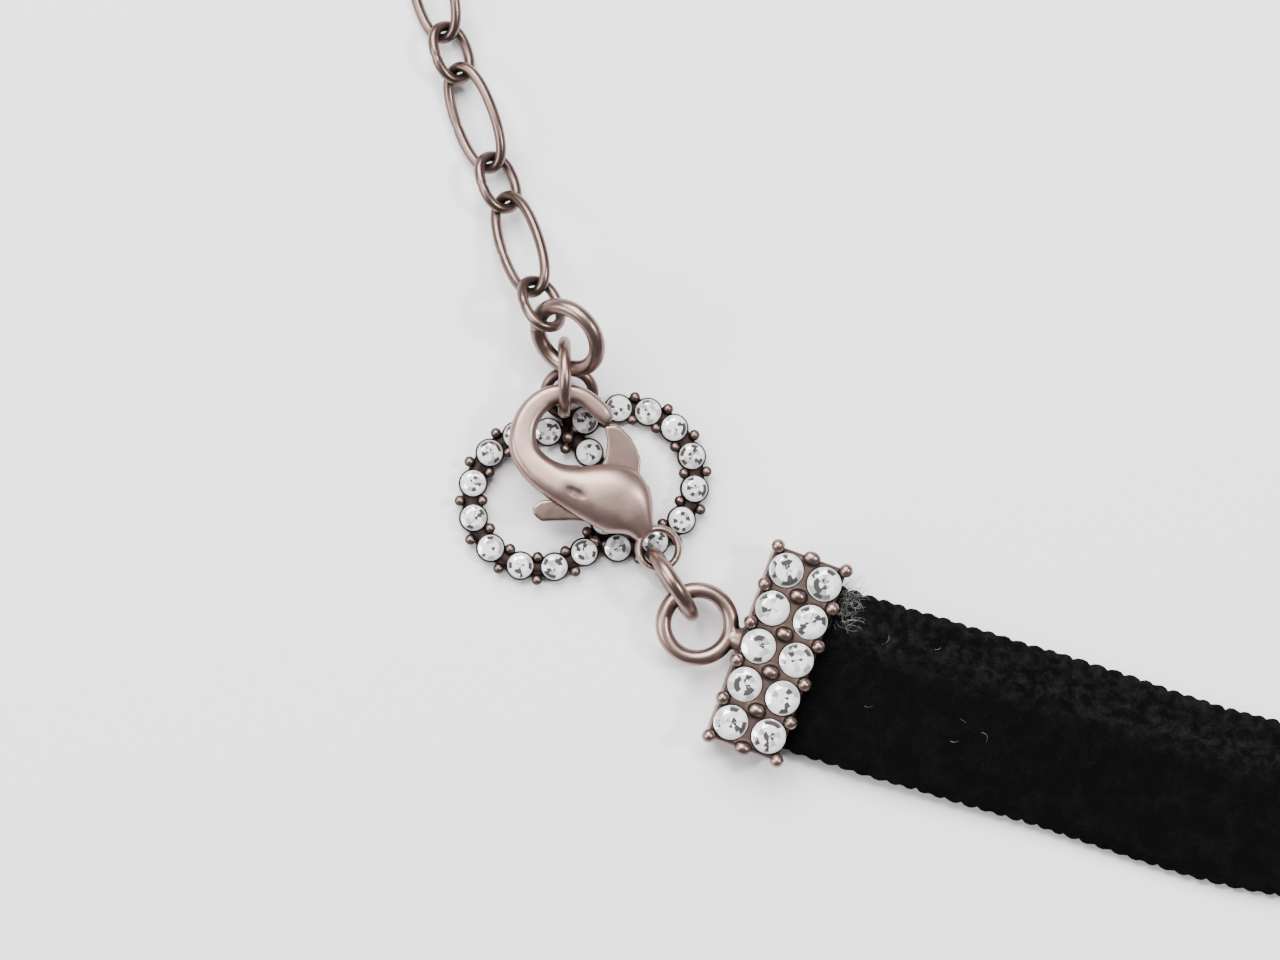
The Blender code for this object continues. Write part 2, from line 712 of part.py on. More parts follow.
def extender_chain(first_middle):
    """Short and long links by turns; returns the last link's far end and its heading."""
    middle = first_middle
    half = (SHORT_LINK - CHAIN_WIRE) / 2
    previous = None
    for i in range(LINK_COUNT):
        heading, fall = CHAIN_COURSE[min(i, len(CHAIN_COURSE) - 1)]
        heading = radians(heading - CHAIN_BEND * max(0, i - len(CHAIN_COURSE) + 1))
        if i >= LINK_COUNT - len(CHAIN_END_RISE):
            fall -= CHAIN_END_RISE[i - LINK_COUNT]
        fall = radians(fall)
        ahead = Vector((cos(fall) * cos(heading), cos(fall) * sin(heading), -sin(fall)))
        length, width = (SHORT_LINK, SHORT_LINK_WIDTH) if i % 2 == 0 else (LONG_LINK, LONG_LINK_WIDTH)
        if previous is not None:
            mean = (ahead + previous).normalized()
            far_end = middle + previous * half
            half = (length - CHAIN_WIRE) / 2
            middle = far_end - mean * (CHAIN_WIRE + LINK_GAP) + ahead * half
        roll = LINK_ROLL if i % 2 == 0 else -LINK_ROLL
        name = f"chain_link_{i + 1:02d}"
        data = wire_curve(name, link_points(length, width), CHAIN_WIRE)
        part(name, data, silver(name), link_frame(middle, heading, fall, roll))
        previous = ahead
    return middle + previous * half, heading


def build():
    """Set the pieces from the clasp's cap on, each held by the one before it."""
    cap_turn = Matrix.Rotation(CLASP_CAP_HEADING, 4, 'Z')
    cap_place = Matrix.Translation((*CLASP_CAP_PLACE, 0)) @ cap_turn
    end_cap("end_cap_clasp", cap_place, "clasp_cap_stone")
    cap_ring = cap_place @ Vector((CAP_RING_PLACE, 0, 0))

    hold = JUMP_RING_HOLE - CAP_RING_WIRE / 2 - JUMP_RING_PLAY
    jump = cap_ring + in_plan(JUMP_RING_HEADING, CAP_RING_RADIUS + hold)
    jump.z = JUMP_RING_DIAMETER / 2 + FLOOR_GAP
    ring("cap_jump_ring", JUMP_RING_RADIUS, JUMP_RING_WIRE,
         Matrix.Translation(jump) @ upright(JUMP_RING_HEADING))

    hold = JUMP_RING_HOLE - TAIL_RING_WALL / 2 - JUMP_RING_PLAY
    tail = jump + in_plan(TAIL_HEADING, TAIL_RING_RADIUS + hold)
    tail.z = CLASP_HEIGHT
    clasp_place = Matrix.Translation(tail) @ Matrix.Rotation(CLASP_TURN, 4, 'Z')
    clasp_body(clasp_place)
    clasp_lever(clasp_place)

    along, across, width, _ = CLASP_SECTIONS[HOOK_SECTION]
    hook = clasp_place @ on_clasp(along, across)
    hole = HOOK_RING_RADIUS - HOOK_RING_WIRE / 2
    hook_ring = hook + Vector((0, hole - width * CLASP_LENGTH / 2 - HOOK_RING_GAP, 0))
    ring("hook_ring", HOOK_RING_RADIUS, HOOK_RING_WIRE, Matrix.Translation(hook_ring) @ upright(pi / 2))

    reach = hole - CHAIN_RING_WIRE / 2 + CHAIN_RING_RADIUS - CHAIN_RING_PLAY
    chain_ring = hook_ring + Vector(CHAIN_RING_DIRECTION).normalized() * reach
    ring("chain_end_ring", CHAIN_RING_RADIUS, CHAIN_RING_WIRE,
         Matrix.Translation(chain_ring) @ tilted(CHAIN_RING_TILT, CHAIN_RING_HIGH_SIDE))

    reach = hole - CHARM_BAIL_WIRE / 2 + BAIL_RADIUS - BAIL_PLAY
    bail = hook_ring + Vector(BAIL_DIRECTION).normalized() * reach
    low_side = (BAIL_RADIUS + CHARM_BAIL_WIRE / 2) * cos(BAIL_TILT)
    charm_turn = Matrix.Rotation(CHARM_HEADING, 4, 'Z')
    charm_middle = bail + in_plan(BAIL_HIGH_SIDE + pi, low_side) - charm_turn @ charm_lug()
    charm_middle.z = 0
    charm(Matrix.Translation(charm_middle) @ charm_turn,
          Matrix.Translation(bail) @ tilted(BAIL_TILT, BAIL_HIGH_SIDE))

    short_hole = SHORT_LINK / 2 - CHAIN_WIRE
    reach = CHAIN_RING_RADIUS + short_hole - CHAIN_RING_WIRE / 2 - FIRST_LINK_PLAY
    first = chain_ring + Vector(FIRST_LINK_DIRECTION).normalized() * reach
    chain_end, heading = extender_chain(first)

    hold = JUMP_RING_HOLE - CHAIN_WIRE / 2 - LAST_RING_PLAY
    last_ring = chain_end + in_plan(heading, hold)
    last_ring.z = JUMP_RING_RADIUS * cos(LAST_RING_TILT) + JUMP_RING_WIRE / 2 + FLOOR_GAP
    leaning = upright(heading) @ Matrix.Rotation(LAST_RING_TILT, 4, 'X')
    ring("chain_jump_ring", JUMP_RING_RADIUS, JUMP_RING_WIRE, Matrix.Translation(last_ring) @ leaning)

    hold = JUMP_RING_HOLE - CAP_RING_WIRE / 2 - LAST_RING_PLAY
    cap_heading = heading + CHAIN_CAP_BEND
    far_ring = last_ring + in_plan(heading, hold) + in_plan(cap_heading, CAP_RING_RADIUS)
    far_cap = far_ring - in_plan(cap_heading, CAP_RING_PLACE)
    far_cap.z = 0
    far_place = Matrix.Translation(far_cap) @ Matrix.Rotation(cap_heading, 4, 'Z')
    end_cap("end_cap_chain", far_place, "chain_cap_stone")
    velvet_ribbon(cap_place, far_place)


def centre():
    """Bring the middle of the footprint to the origin and the lowest point to z = 0."""
    bpy.context.view_layer.update()
    depsgraph = bpy.context.evaluated_depsgraph_get()
    corners = []
    for item in parts.objects:
        ready = item.evaluated_get(depsgraph)
        data = ready.to_mesh()
        corners += [item.matrix_world @ vertex.co for vertex in data.vertices]
        ready.to_mesh_clear()
    low = Vector([min(corner[axis] for corner in corners) for axis in range(3)])
    high = Vector([max(corner[axis] for corner in corners) for axis in range(3)])
    centre_mark.location = (-(low.x + high.x) / 2, -(low.y + high.y) / 2, -low.z)


for old in list(bpy.data.objects):
    bpy.data.objects.remove(old)
parts = collection("choker_necklace")
cutters = collection("cutters")
centre_mark = bpy.data.objects.new("necklace_centre", None)
parts.objects.link(centre_mark)
build()
parts.objects.unlink(centre_mark)
cutters.objects.link(centre_mark)
centre()
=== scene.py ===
"""Looks of the choker necklace: velvet ribbon, stone-set end caps, lobster clasp,
extender chain and double-ring charm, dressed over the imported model."""

import random
from math import atan2, cos, hypot, pi, radians, sin

import bpy
from bpy.props import FloatProperty, FloatVectorProperty, IntProperty, PointerProperty
from bpy.types import Operator, PropertyGroup
from mathutils import Matrix, Vector, noise


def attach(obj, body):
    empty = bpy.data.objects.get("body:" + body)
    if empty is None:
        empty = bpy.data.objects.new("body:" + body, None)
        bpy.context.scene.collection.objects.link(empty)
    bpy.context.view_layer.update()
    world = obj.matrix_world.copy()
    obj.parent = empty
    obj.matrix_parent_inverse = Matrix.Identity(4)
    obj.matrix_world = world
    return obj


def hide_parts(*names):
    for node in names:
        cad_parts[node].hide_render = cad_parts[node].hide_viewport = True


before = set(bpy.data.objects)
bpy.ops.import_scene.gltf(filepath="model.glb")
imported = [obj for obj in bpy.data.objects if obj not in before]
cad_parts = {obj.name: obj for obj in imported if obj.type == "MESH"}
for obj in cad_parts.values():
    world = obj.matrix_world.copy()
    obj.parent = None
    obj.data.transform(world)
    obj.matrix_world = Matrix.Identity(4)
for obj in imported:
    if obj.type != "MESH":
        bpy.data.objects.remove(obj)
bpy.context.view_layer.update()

bl_info = {
    "name": "Velvet Choker",
    "version": (1, 0, 0),
    "blender": (4, 5, 0),
    "location": "View3D > Sidebar > Choker",
    "description": "Models the velvet, silver and crystal pieces of a choker necklace",
    "category": "Add Mesh",
}

MM = 0.001

# Middle of the footprint, taken from places measured from the middle of the view
CENTRE = Vector((-0.047870, -0.041958, 0.000004))

# Shares of the clasp's length, and of its thickness in the last column
CLASP_ROWS = (
    # along, across, width, thickness
    (0.596, 0.279, 0.044, 0.20),
    (0.612, 0.268, 0.064, 0.27),
    (0.639, 0.269, 0.087, 0.37),
    (0.699, 0.271, 0.091, 0.41),
    (0.762, 0.265, 0.089, 0.44),
    (0.807, 0.246, 0.085, 0.45),
    (0.851, 0.209, 0.094, 0.46),
    (0.889, 0.159, 0.100, 0.48),
    (0.906, 0.088, 0.115, 0.52),
    (0.901, 0.014, 0.119, 0.55),
    (0.869, -0.057, 0.128, 0.59),
    (0.823, -0.107, 0.142, 0.63),
    (0.770, -0.135, 0.144, 0.67),
    (0.698, -0.145, 0.153, 0.73),
    (0.619, -0.136, 0.170, 0.79),
    (0.536, -0.111, 0.206, 0.87),
    (0.456, -0.062, 0.271, 0.94),
    (0.377, -0.003, 0.339, 1.00),
    (0.284, 0.039, 0.365, 0.96),
    (0.206, 0.036, 0.270, 0.80),
    (0.144, 0.019, 0.152, 0.58),
    (0.102, 0.005, 0.108, 0.40),
    (0.095, 0.003, 0.102, 0.37),
    (0.090, 0.002, 0.096, 0.35),
)
HOOK_ROW = 6
SLOT_SHARES = (
    # along, across
    (0.610, 0.079),
    (0.329, 0.360),
    (0.240, 0.271),
    (0.257, 0.171),
    (0.230, 0.062),
    (0.216, -0.048),
    (0.247, -0.120),
    (0.295, -0.271),
    (0.500, -0.476),
    (0.658, -0.319),
    (0.493, -0.051),
)
PIVOT_SHARES = (0.325, -0.041)
DENT_SHARES = (0.482, -0.100)

# Headings of the stones of the charm's two rings, in degrees
LEFT_STONES = (68.8, 95.5, 122.3, 151.6, 180.8, 210.0, 239.2, 268.1, 296.2, 327.3, 358.4, 29.5)
RIGHT_STONES = (249.3, 280.6, 309.0, 336.8, 3.9, 31.4, 56.6, 81.1, 110.6)

# Charm, metres: middle to middle of its rings, their radii, and the height of its stone bed
RING_SPACING = 5.16 * MM
LEFT_RADIUS = 4.0 * MM
RIGHT_RADIUS = 4.1 * MM
CHARM_HEIGHT = 0.9 * MM

# The girdle of a stone lies this far above its bed
GIRDLE_RISE = 0.04 * MM

# Soldered rings, metres: radius and half the wire
CAP_RING = (1.975 * MM, 0.475 * MM)
TAIL_RING = (1.1625 * MM, 0.2125 * MM)
BAIL_RING = (1.39 * MM, 0.33 * MM)

# From the middle of a cap to its ring: half the cap, the gap and the ring's outer radius
CAP_RING_PLACE = -(2.2 + 0.24 + 2.45) * MM

# Loose rings: radius and wire in millimetres, and the heading of the joint
WIRE_RINGS = {
    "cap_jump_ring": (2.05, 0.90, -0.7),
    "hook_ring": (2.02, 0.73, -2.3),
    "chain_end_ring": (2.025, 0.95, 2.2),
    "chain_jump_ring": (2.05, 0.90, 0.6),
}

# Links, short and long by turns: length and width in millimetres
LINK_SIZES = ((3.9, 2.9), (6.9, 3.3))
LINK_COUNT = 17
LINK_GAP = 0.1 * MM

# Share that a wire keeps at its soldered joint
JOINT_WAIST = 0.86

# Ribbon course in the plane, millimetres from the middle of the view
RIBBON_COURSE = (
    # x, y
    (24.2, -15.2),
    (37.2, -19.1),
    (53.0, -20.5),
    (70.3, -16.3),
    (87.8, -5.8),
    (101.1, 9.6),
    (109.1, 28.3),
    (110.8, 48.5),
    (106.3, 68.3),
    (95.8, 85.8),
    (80.4, 99.1),
    (61.7, 107.1),
    (41.5, 108.8),
    (21.7, 104.3),
    (10.3, 98.4),
    (4.4, 94.2),
)

# Metres: lift of the ribbon off the floor, its extra height where it leaves the cap,
# the run inside the cap and the run over which it comes down
RIBBON_LIFT = 0.12 * MM
RIBBON_DROP = 0.65 * MM
CAP_RUN = 4.4 * MM
DROP_RUN = 20 * MM

# Specks of lint on the velvet, millimetres from the middle of the cap
LINT = ((2.9, 3.0), (5.6, 2.6), (5.9, -1.1), (11.4, 0.1), (11.3, -1.3), (12.9, -0.2), (8.6, 3.4))

# Heading and fall of the first links, in degrees
CHAIN_COURSE = ((108.5, 26.0), (109.0, 18.0), (109.5, 5.0), (110.0, 2.0), (108.5, 0.0))


def length_property(name, description, millimetres):
    return FloatProperty(name=name, description=description, default=millimetres * MM, unit='LENGTH')


def colour_property(name, description, colour):
    return FloatVectorProperty(name=name, description=description, default=colour, subtype='COLOR')


class RibbonSizes(PropertyGroup):
    width: length_property("Width", "Width of the velvet ribbon over its edge loops", 10)
    thickness: length_property("Thickness", "Thickness of the ribbon with its pile", 1.1)
    loop_pitch: length_property("Edge loop pitch", "Distance between the loops of the woven edge", 0.94)
    loop_depth: length_property("Edge loop depth", "Depth of the notch between two edge loops", 0.20)
    fibres: IntProperty(name="Loose fibres", default=90,
                        description="Frayed fibres at the end of the velvet")
    pile: colour_property("Pile colour", "Colour of the velvet pile", (0.0020, 0.0019, 0.0021))
    lint: colour_property("Fray colour", "Colour of the frayed fibres", (0.34, 0.33, 0.32))


class SilverSizes(PropertyGroup):
    cap_depth: length_property("Cap depth", "End cap along the ribbon", 4.4)
    cap_height: length_property("Cap height", "End cap from the floor to its stone bed", 3.0)
    cap_stone: length_property("Cap stone", "Diameter of the stones of the end caps", 2.0)
    cap_pitch: length_property("Cap stone pitch", "Distance between the stones of the end caps", 2.34)
    clasp_length: length_property("Clasp length", "From the tail ring to the tip of the hook", 12)
    clasp_thickness: length_property("Clasp thickness", "Thickest part of the clasp", 2.7)
    link_wire: length_property("Link wire", "Wire of the extender chain", 0.62)
    charm_stone: length_property("Charm stone", "Diameter of the stones of the charm", 1.5)
    charm_band: length_property("Charm band", "Width of the rings of the charm", 1.45)
    metal: colour_property("Silver colour", "Rubbed high places of the antique silver",
                           (0.285, 0.195, 0.167))
    # Dark colour used both for oxide in the hollows and for painted shade
    tarnish_and_shade: colour_property("Tarnish colour", "Oxidised recesses of the antique silver",
                             (0.020, 0.014, 0.012))


class StageSizes(PropertyGroup):
    floor: colour_property("Floor colour", "Pale floor", (0.83, 0.80, 0.82))
    distance: length_property("Camera distance", "From the camera to the clasp", 220)
    lean: FloatProperty(name="Camera lean", description="Turn of the camera from straight above",
                        default=radians(3), subtype='ANGLE')
    view_width: length_property("View width", "Width that the camera takes in at the clasp", 74.4)


class ChokerSettings(PropertyGroup):
    ribbon: PointerProperty(type=RibbonSizes)
    silver: PointerProperty(type=SilverSizes)
    stage: PointerProperty(type=StageSizes)


def settings():
    return bpy.context.scene.choker


# Mesh tools

def select_only(*items):
    bpy.ops.object.select_all(action='DESELECT')
    for item in items:
        item.select_set(True)
    bpy.context.view_layer.objects.active = items[0]


def newest(name):
    made = bpy.context.object
    made.name = name
    made.data.name = name
    return made


def settle(item, place=None):
    """Move an object to its place and put that place into its mesh."""
    if place is not None:
        item.matrix_world = place @ item.matrix_world
    select_only(item)
    bpy.ops.object.transform_apply(location=True, rotation=True, scale=True)
    return item


def edit(item, pick, *steps):
    """Select the vertices whose place is picked and run edit-mode steps on them."""
    select_only(item)
    bpy.ops.object.mode_set(mode='EDIT')
    bpy.ops.mesh.select_mode(type='VERT')
    bpy.ops.mesh.select_all(action='DESELECT')
    bpy.ops.object.mode_set(mode='OBJECT')
    for corner in item.data.vertices:
        corner.select = pick(corner.co)
    bpy.ops.object.mode_set(mode='EDIT')
    for step in steps:
        step()
    bpy.ops.object.mode_set(mode='OBJECT')
    return item


def everywhere(place):
    return True


def select_whole():
    bpy.ops.mesh.select_all(action='SELECT')


def face_outwards():
    bpy.ops.mesh.normals_make_consistent(inside=False)


def waist(item, pick, joint):
    """Narrow a wire at its soldered joint."""
    return edit(item, pick, lambda: bpy.ops.transform.resize(value=[JOINT_WAIST] * 3,
                                                             center_override=joint))


def modify(item, kind, **values):
    """Add a modifier, set it and apply it."""
    select_only(item)
    step = item.modifiers.new(kind.title(), kind)
    for key, value in values.items():
        setattr(step, key, value)
    bpy.ops.object.modifier_apply(modifier=step.name)
    return item


def joined(name, items):
    select_only(*items)
    bpy.ops.object.join()
    return newest(name)


def copied(item, name, place):
    """A copy with its own mesh at another place."""
    made = bpy.data.objects.new(name, item.data.copy())
    made.data.name = name
    bpy.context.scene.collection.objects.link(made)
    made.data.transform(place)
    return made


def discard(*items):
    for item in items:
        bpy.data.objects.remove(item)


def carve(item, tool):
    modify(item, 'BOOLEAN', object=tool, operation='DIFFERENCE', solver='MANIFOLD')
    discard(tool)
    return item


def melt(item, grain):
    """Merge overlapping shapes into one skin, as molten metal does."""
    return modify(item, 'REMESH', mode='VOXEL', voxel_size=grain, adaptivity=0.0)


def polish(item, rounds, share=1.0):
    modify(item, 'SMOOTH', factor=0.5, iterations=rounds)
    if share < 1:
        modify(item, 'DECIMATE', ratio=share)
    item.data.shade_smooth()
    return item


def meshed(curve, name):
    """The mesh of a curve, as an object of its own."""
    item = bpy.data.objects.new(name, curve)
    bpy.context.scene.collection.objects.link(item)
    select_only(item)
    bpy.ops.object.convert(target='MESH')
    return newest(name)


def torus(name, radius, half_wire, around, sides, **place):
    bpy.ops.mesh.primitive_torus_add(major_radius=radius, minor_radius=half_wire, major_segments=around,
                                     minor_segments=sides, **place)
    return newest(name)


def bead(name, place, size):
    """A round or oval bead, its size in millimetres."""
    bpy.ops.mesh.primitive_uv_sphere_add(segments=20, ring_count=12, radius=0.5, location=place)
    made = newest(name)
    made.scale = [part * MM for part in size]
    return settle(made)


def box(name, low, high):
    middle = (Vector(low) + Vector(high)) / 2
    bpy.ops.mesh.primitive_cube_add(size=1, location=middle)
    made = newest(name)
    made.scale = Vector(high) - Vector(low)
    return settle(made)


def dress(item, finish, body, node=None):
    """Give a piece its finish and the body that it rides on."""
    if finish is not None:
        item.data.materials.clear()
        item.data.materials.append(finish)
    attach(item, body)
    if node:
        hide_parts(node)
    return item


# Where the pieces lie

def mm(x, y, z=0.0):
    return Vector((x, y, z)) * MM + CENTRE


def moved(place):
    return Matrix.Translation(place)


def turned(angle, axis='Z'):
    return Matrix.Rotation(angle, 4, axis)


def aimed(heading, tip):
    """A direction that tips away from the upright towards a heading."""
    return Vector((sin(tip) * cos(heading), sin(tip) * sin(heading), cos(tip)))


def in_plan(heading, length):
    return Vector((length * cos(heading), length * sin(heading), 0))


def tilted(tilt, high_side):
    return aimed(high_side, -tilt).to_track_quat('Z', 'X').to_matrix().to_4x4()


def upright(heading):
    return turned(heading) @ turned(pi / 2, 'X')


def on_clasp(along, across):
    length = settings().silver.clasp_length
    return Vector((along * length, -across * length, 0))


def link_lengths(i):
    return [size * MM for size in LINK_SIZES[i % 2]]


def hole(node):
    """Radius of the open middle of a loose ring."""
    radius, wire, _ = WIRE_RINGS[node]
    return (radius - wire / 2) * MM


def chain_places(first):
    """Place of each link, and the far end and heading of the last one."""
    wire = 0.62 * MM
    places = []
    middle, previous = first, None
    half = (link_lengths(0)[0] - wire) / 2
    for i in range(LINK_COUNT):
        heading, fall = CHAIN_COURSE[min(i, len(CHAIN_COURSE) - 1)]
        heading = radians(heading - 3.5 * max(0, i - len(CHAIN_COURSE) + 1))
        fall = radians(fall - {LINK_COUNT - 2: 4.0, LINK_COUNT - 1: 9.0}.get(i, 0))
        ahead = Vector((cos(fall) * cos(heading), cos(fall) * sin(heading), -sin(fall)))
        if previous is not None:
            mean = (ahead + previous).normalized()
            far_end = middle + previous * half
            half = (link_lengths(i)[0] - wire) / 2
            middle = far_end - mean * (wire + LINK_GAP) + ahead * half
        roll = radians(35 if i % 2 == 0 else -35)
        flat = Vector((0, 0, 1)).cross(ahead).normalized()
        across = flat * cos(roll) + ahead.cross(flat) * sin(roll)
        turn = Matrix((ahead, across, ahead.cross(across))).transposed().to_4x4()
        places.append(moved(middle) @ turn)
        previous = ahead
    return places, middle + previous * half, heading


def layout():
    """The place of every piece, each held by the one before it."""
    spots = {}
    cap = moved(mm(7.92, -10.05)) @ turned(radians(-20.2))
    spots["end_cap_clasp"] = cap
    jump_hole = hole("cap_jump_ring")
    jump = cap @ Vector((CAP_RING_PLACE, 0, 0))
    jump += in_plan(radians(122.4), CAP_RING[0] + jump_hole - 0.825 * MM)
    jump.z = 2.6 * MM + CENTRE.z
    spots["cap_jump_ring"] = moved(jump) @ upright(radians(122.4))

    tail = jump + in_plan(radians(112.1), TAIL_RING[0] + jump_hole - TAIL_RING[1] - 0.35 * MM)
    tail.z = 2.95 * MM + CENTRE.z
    spots["clasp_body"] = moved(tail) @ turned(radians(135))
    along, across, width, _ = CLASP_ROWS[HOOK_ROW]
    hook = spots["clasp_body"] @ on_clasp(along, across)
    hook_hole = hole("hook_ring")
    hook_ring = hook + Vector((0, hook_hole - width * 6 * MM - 0.17 * MM, 0))
    spots["hook_ring"] = moved(hook_ring) @ upright(pi / 2)

    reach = hook_hole - 0.475 * MM + 2.025 * MM - 0.69 * MM
    chain_ring = hook_ring + Vector((0.06, 0.88, 0.468)).normalized() * reach
    spots["chain_end_ring"] = moved(chain_ring) @ tilted(radians(49), radians(43))
    reach = hook_hole - BAIL_RING[1] + BAIL_RING[0] - 0.86 * MM
    bail = hook_ring + Vector((0.17, -0.436, -0.883)).normalized() * reach
    spots["bail"] = moved(bail) @ tilted(radians(26), radians(91))
    low_side = 1.72 * MM * cos(radians(26))
    turn = turned(radians(14.4))
    charm = bail + in_plan(radians(271), low_side) - turn @ charm_lug()
    charm.z = CENTRE.z
    spots["charm"] = moved(charm) @ turn

    reach = (2.025 + 1.33 - 0.475 - 0.38) * MM
    first = chain_ring + Vector((-0.596, 0.788, -0.144)).normalized() * reach
    spots["links"], chain_end, heading = chain_places(first)
    last = chain_end + in_plan(heading, jump_hole - 0.31 * MM - 0.6 * MM)
    last.z = 2.05 * MM * cos(radians(35)) + 0.55 * MM + CENTRE.z
    leaning = upright(heading) @ turned(radians(35), 'X')
    spots["chain_jump_ring"] = moved(last) @ leaning
    cap_heading = heading - radians(6)
    far_ring = last + in_plan(heading, jump_hole - 1.075 * MM) + in_plan(cap_heading, CAP_RING[0])
    far_cap = far_ring - in_plan(cap_heading, CAP_RING_PLACE)
    far_cap.z = CENTRE.z
    spots["end_cap_chain"] = moved(far_cap) @ turned(cap_heading)
    return spots


def charm_crossing(side):
    """Where the rings of the charm cross, in its own frame."""
    back = (RING_SPACING ** 2 + RIGHT_RADIUS ** 2 - LEFT_RADIUS ** 2) / (2 * RING_SPACING)
    return Vector((RING_SPACING - back, side * (RIGHT_RADIUS ** 2 - back ** 2) ** 0.5, 0))


def charm_lug():
    return charm_crossing(1) + Vector((0.24 * 1.45, 0.68 * 1.45, 0.45)) * MM


# Shader tools

class Socket:
    """A node's output that adds Math nodes when it stands in an expression."""

    def __init__(self, recipe, link):
        self.recipe = recipe
        self.link = link

    def math(self, operation, *values):
        return self.recipe.node('Math', {"operation": operation}, dict(enumerate(values)))

    def __add__(self, other):
        return self.math('ADD', self, other)

    def __radd__(self, other):
        return self.math('ADD', other, self)

    def __sub__(self, other):
        return self.math('SUBTRACT', self, other)

    def __rsub__(self, other):
        return self.math('SUBTRACT', other, self)

    def __mul__(self, other):
        return self.math('MULTIPLY', self, other)

    def __rmul__(self, other):
        return self.math('MULTIPLY', other, self)


class Recipe:
    """A material that is written node by node."""

    def __init__(self, name):
        self.material = bpy.data.materials.new(name)
        self.material.use_nodes = True
        self.tree = self.material.node_tree
        self.shader = self.tree.nodes["Principled BSDF"]

    def node(self, kind, options=None, inputs=None, output=0):
        """Add a node, set its options first and then the values or links of its sockets."""
        made = self.tree.nodes.new("ShaderNode" + kind)
        for key, value in (options or {}).items():
            if key == "stops":
                ramp = made.color_ramp
                while len(ramp.elements) < len(value):
                    ramp.elements.new(0.5)
                for stop, (place, shade) in zip(ramp.elements, value):
                    stop.position = place
                    stop.color = (shade, shade, shade, 1)
            else:
                setattr(made, key, value)
        self.fill(made, inputs or {})
        return Socket(self, made.outputs[output])

    def fill(self, made, inputs):
        for key, value in inputs.items():
            socket = made.inputs[key]
            if isinstance(value, Socket):
                self.tree.links.new(value.link, socket)
            elif hasattr(value, "__len__"):
                socket.default_value = (*value, 1.0)[:len(socket.default_value)]
            else:
                socket.default_value = value

    def coordinates(self, kind="Object"):
        return self.node('TexCoord', output=kind)

    def noise(self, where, scale, detail=2.0, roughness=0.5, distortion=0.0):
        return self.node('TexNoise', {}, {"Vector": where, "Scale": scale, "Detail": detail,
                                          "Roughness": roughness, "Distortion": distortion})

    def vector_math(self, operation, *values, output=0):
        return self.node('VectorMath', {"operation": operation}, dict(enumerate(values)), output)

    def axis(self, vector, index):
        """One coordinate of a vector: 0 is X, 1 is Y and 2 is Z."""
        return self.node('SeparateXYZ', {}, {"Vector": vector}, output=index)

    def stretched(self, vector, scale, turn=(0.0, 0.0, 0.0)):
        return self.node('Mapping', {}, {"Vector": vector, "Rotation": turn, "Scale": scale})

    def between(self, value, low, high, least=0.0):
        """A value mapped to 1 at its high end and to the least at its low end."""
        return self.node('MapRange', {},
                         {"Value": value, "From Min": low, "From Max": high, "To Min": least})

    def ramp(self, value, stops):
        return self.node('ValToRGB', {"stops": stops}, {"Fac": value})

    def blend(self, share, one, two):
        return self.node('Mix', {"data_type": 'RGBA'}, {0: share, 6: one, 7: two}, output=2)

    def bump(self, height, strength, distance, under=None):
        inputs = {"Height": height, "Strength": strength, "Distance": distance}
        if under is not None:
            inputs["Normal"] = under
        return self.node('Bump', {}, inputs)

    def finish(self, **inputs):
        self.fill(self.shader, {key.replace("_", " "): value for key, value in inputs.items()})
        return self.material


# Heights between which the metal under the stones stays dark, as oxide and painted shade in the
# recessed bed, and where it is rubbed again
BED_HEIGHTS = {"cap": (2.86, 3.06, 3.34), "charm": (0.35, 0.98, 1.14)}


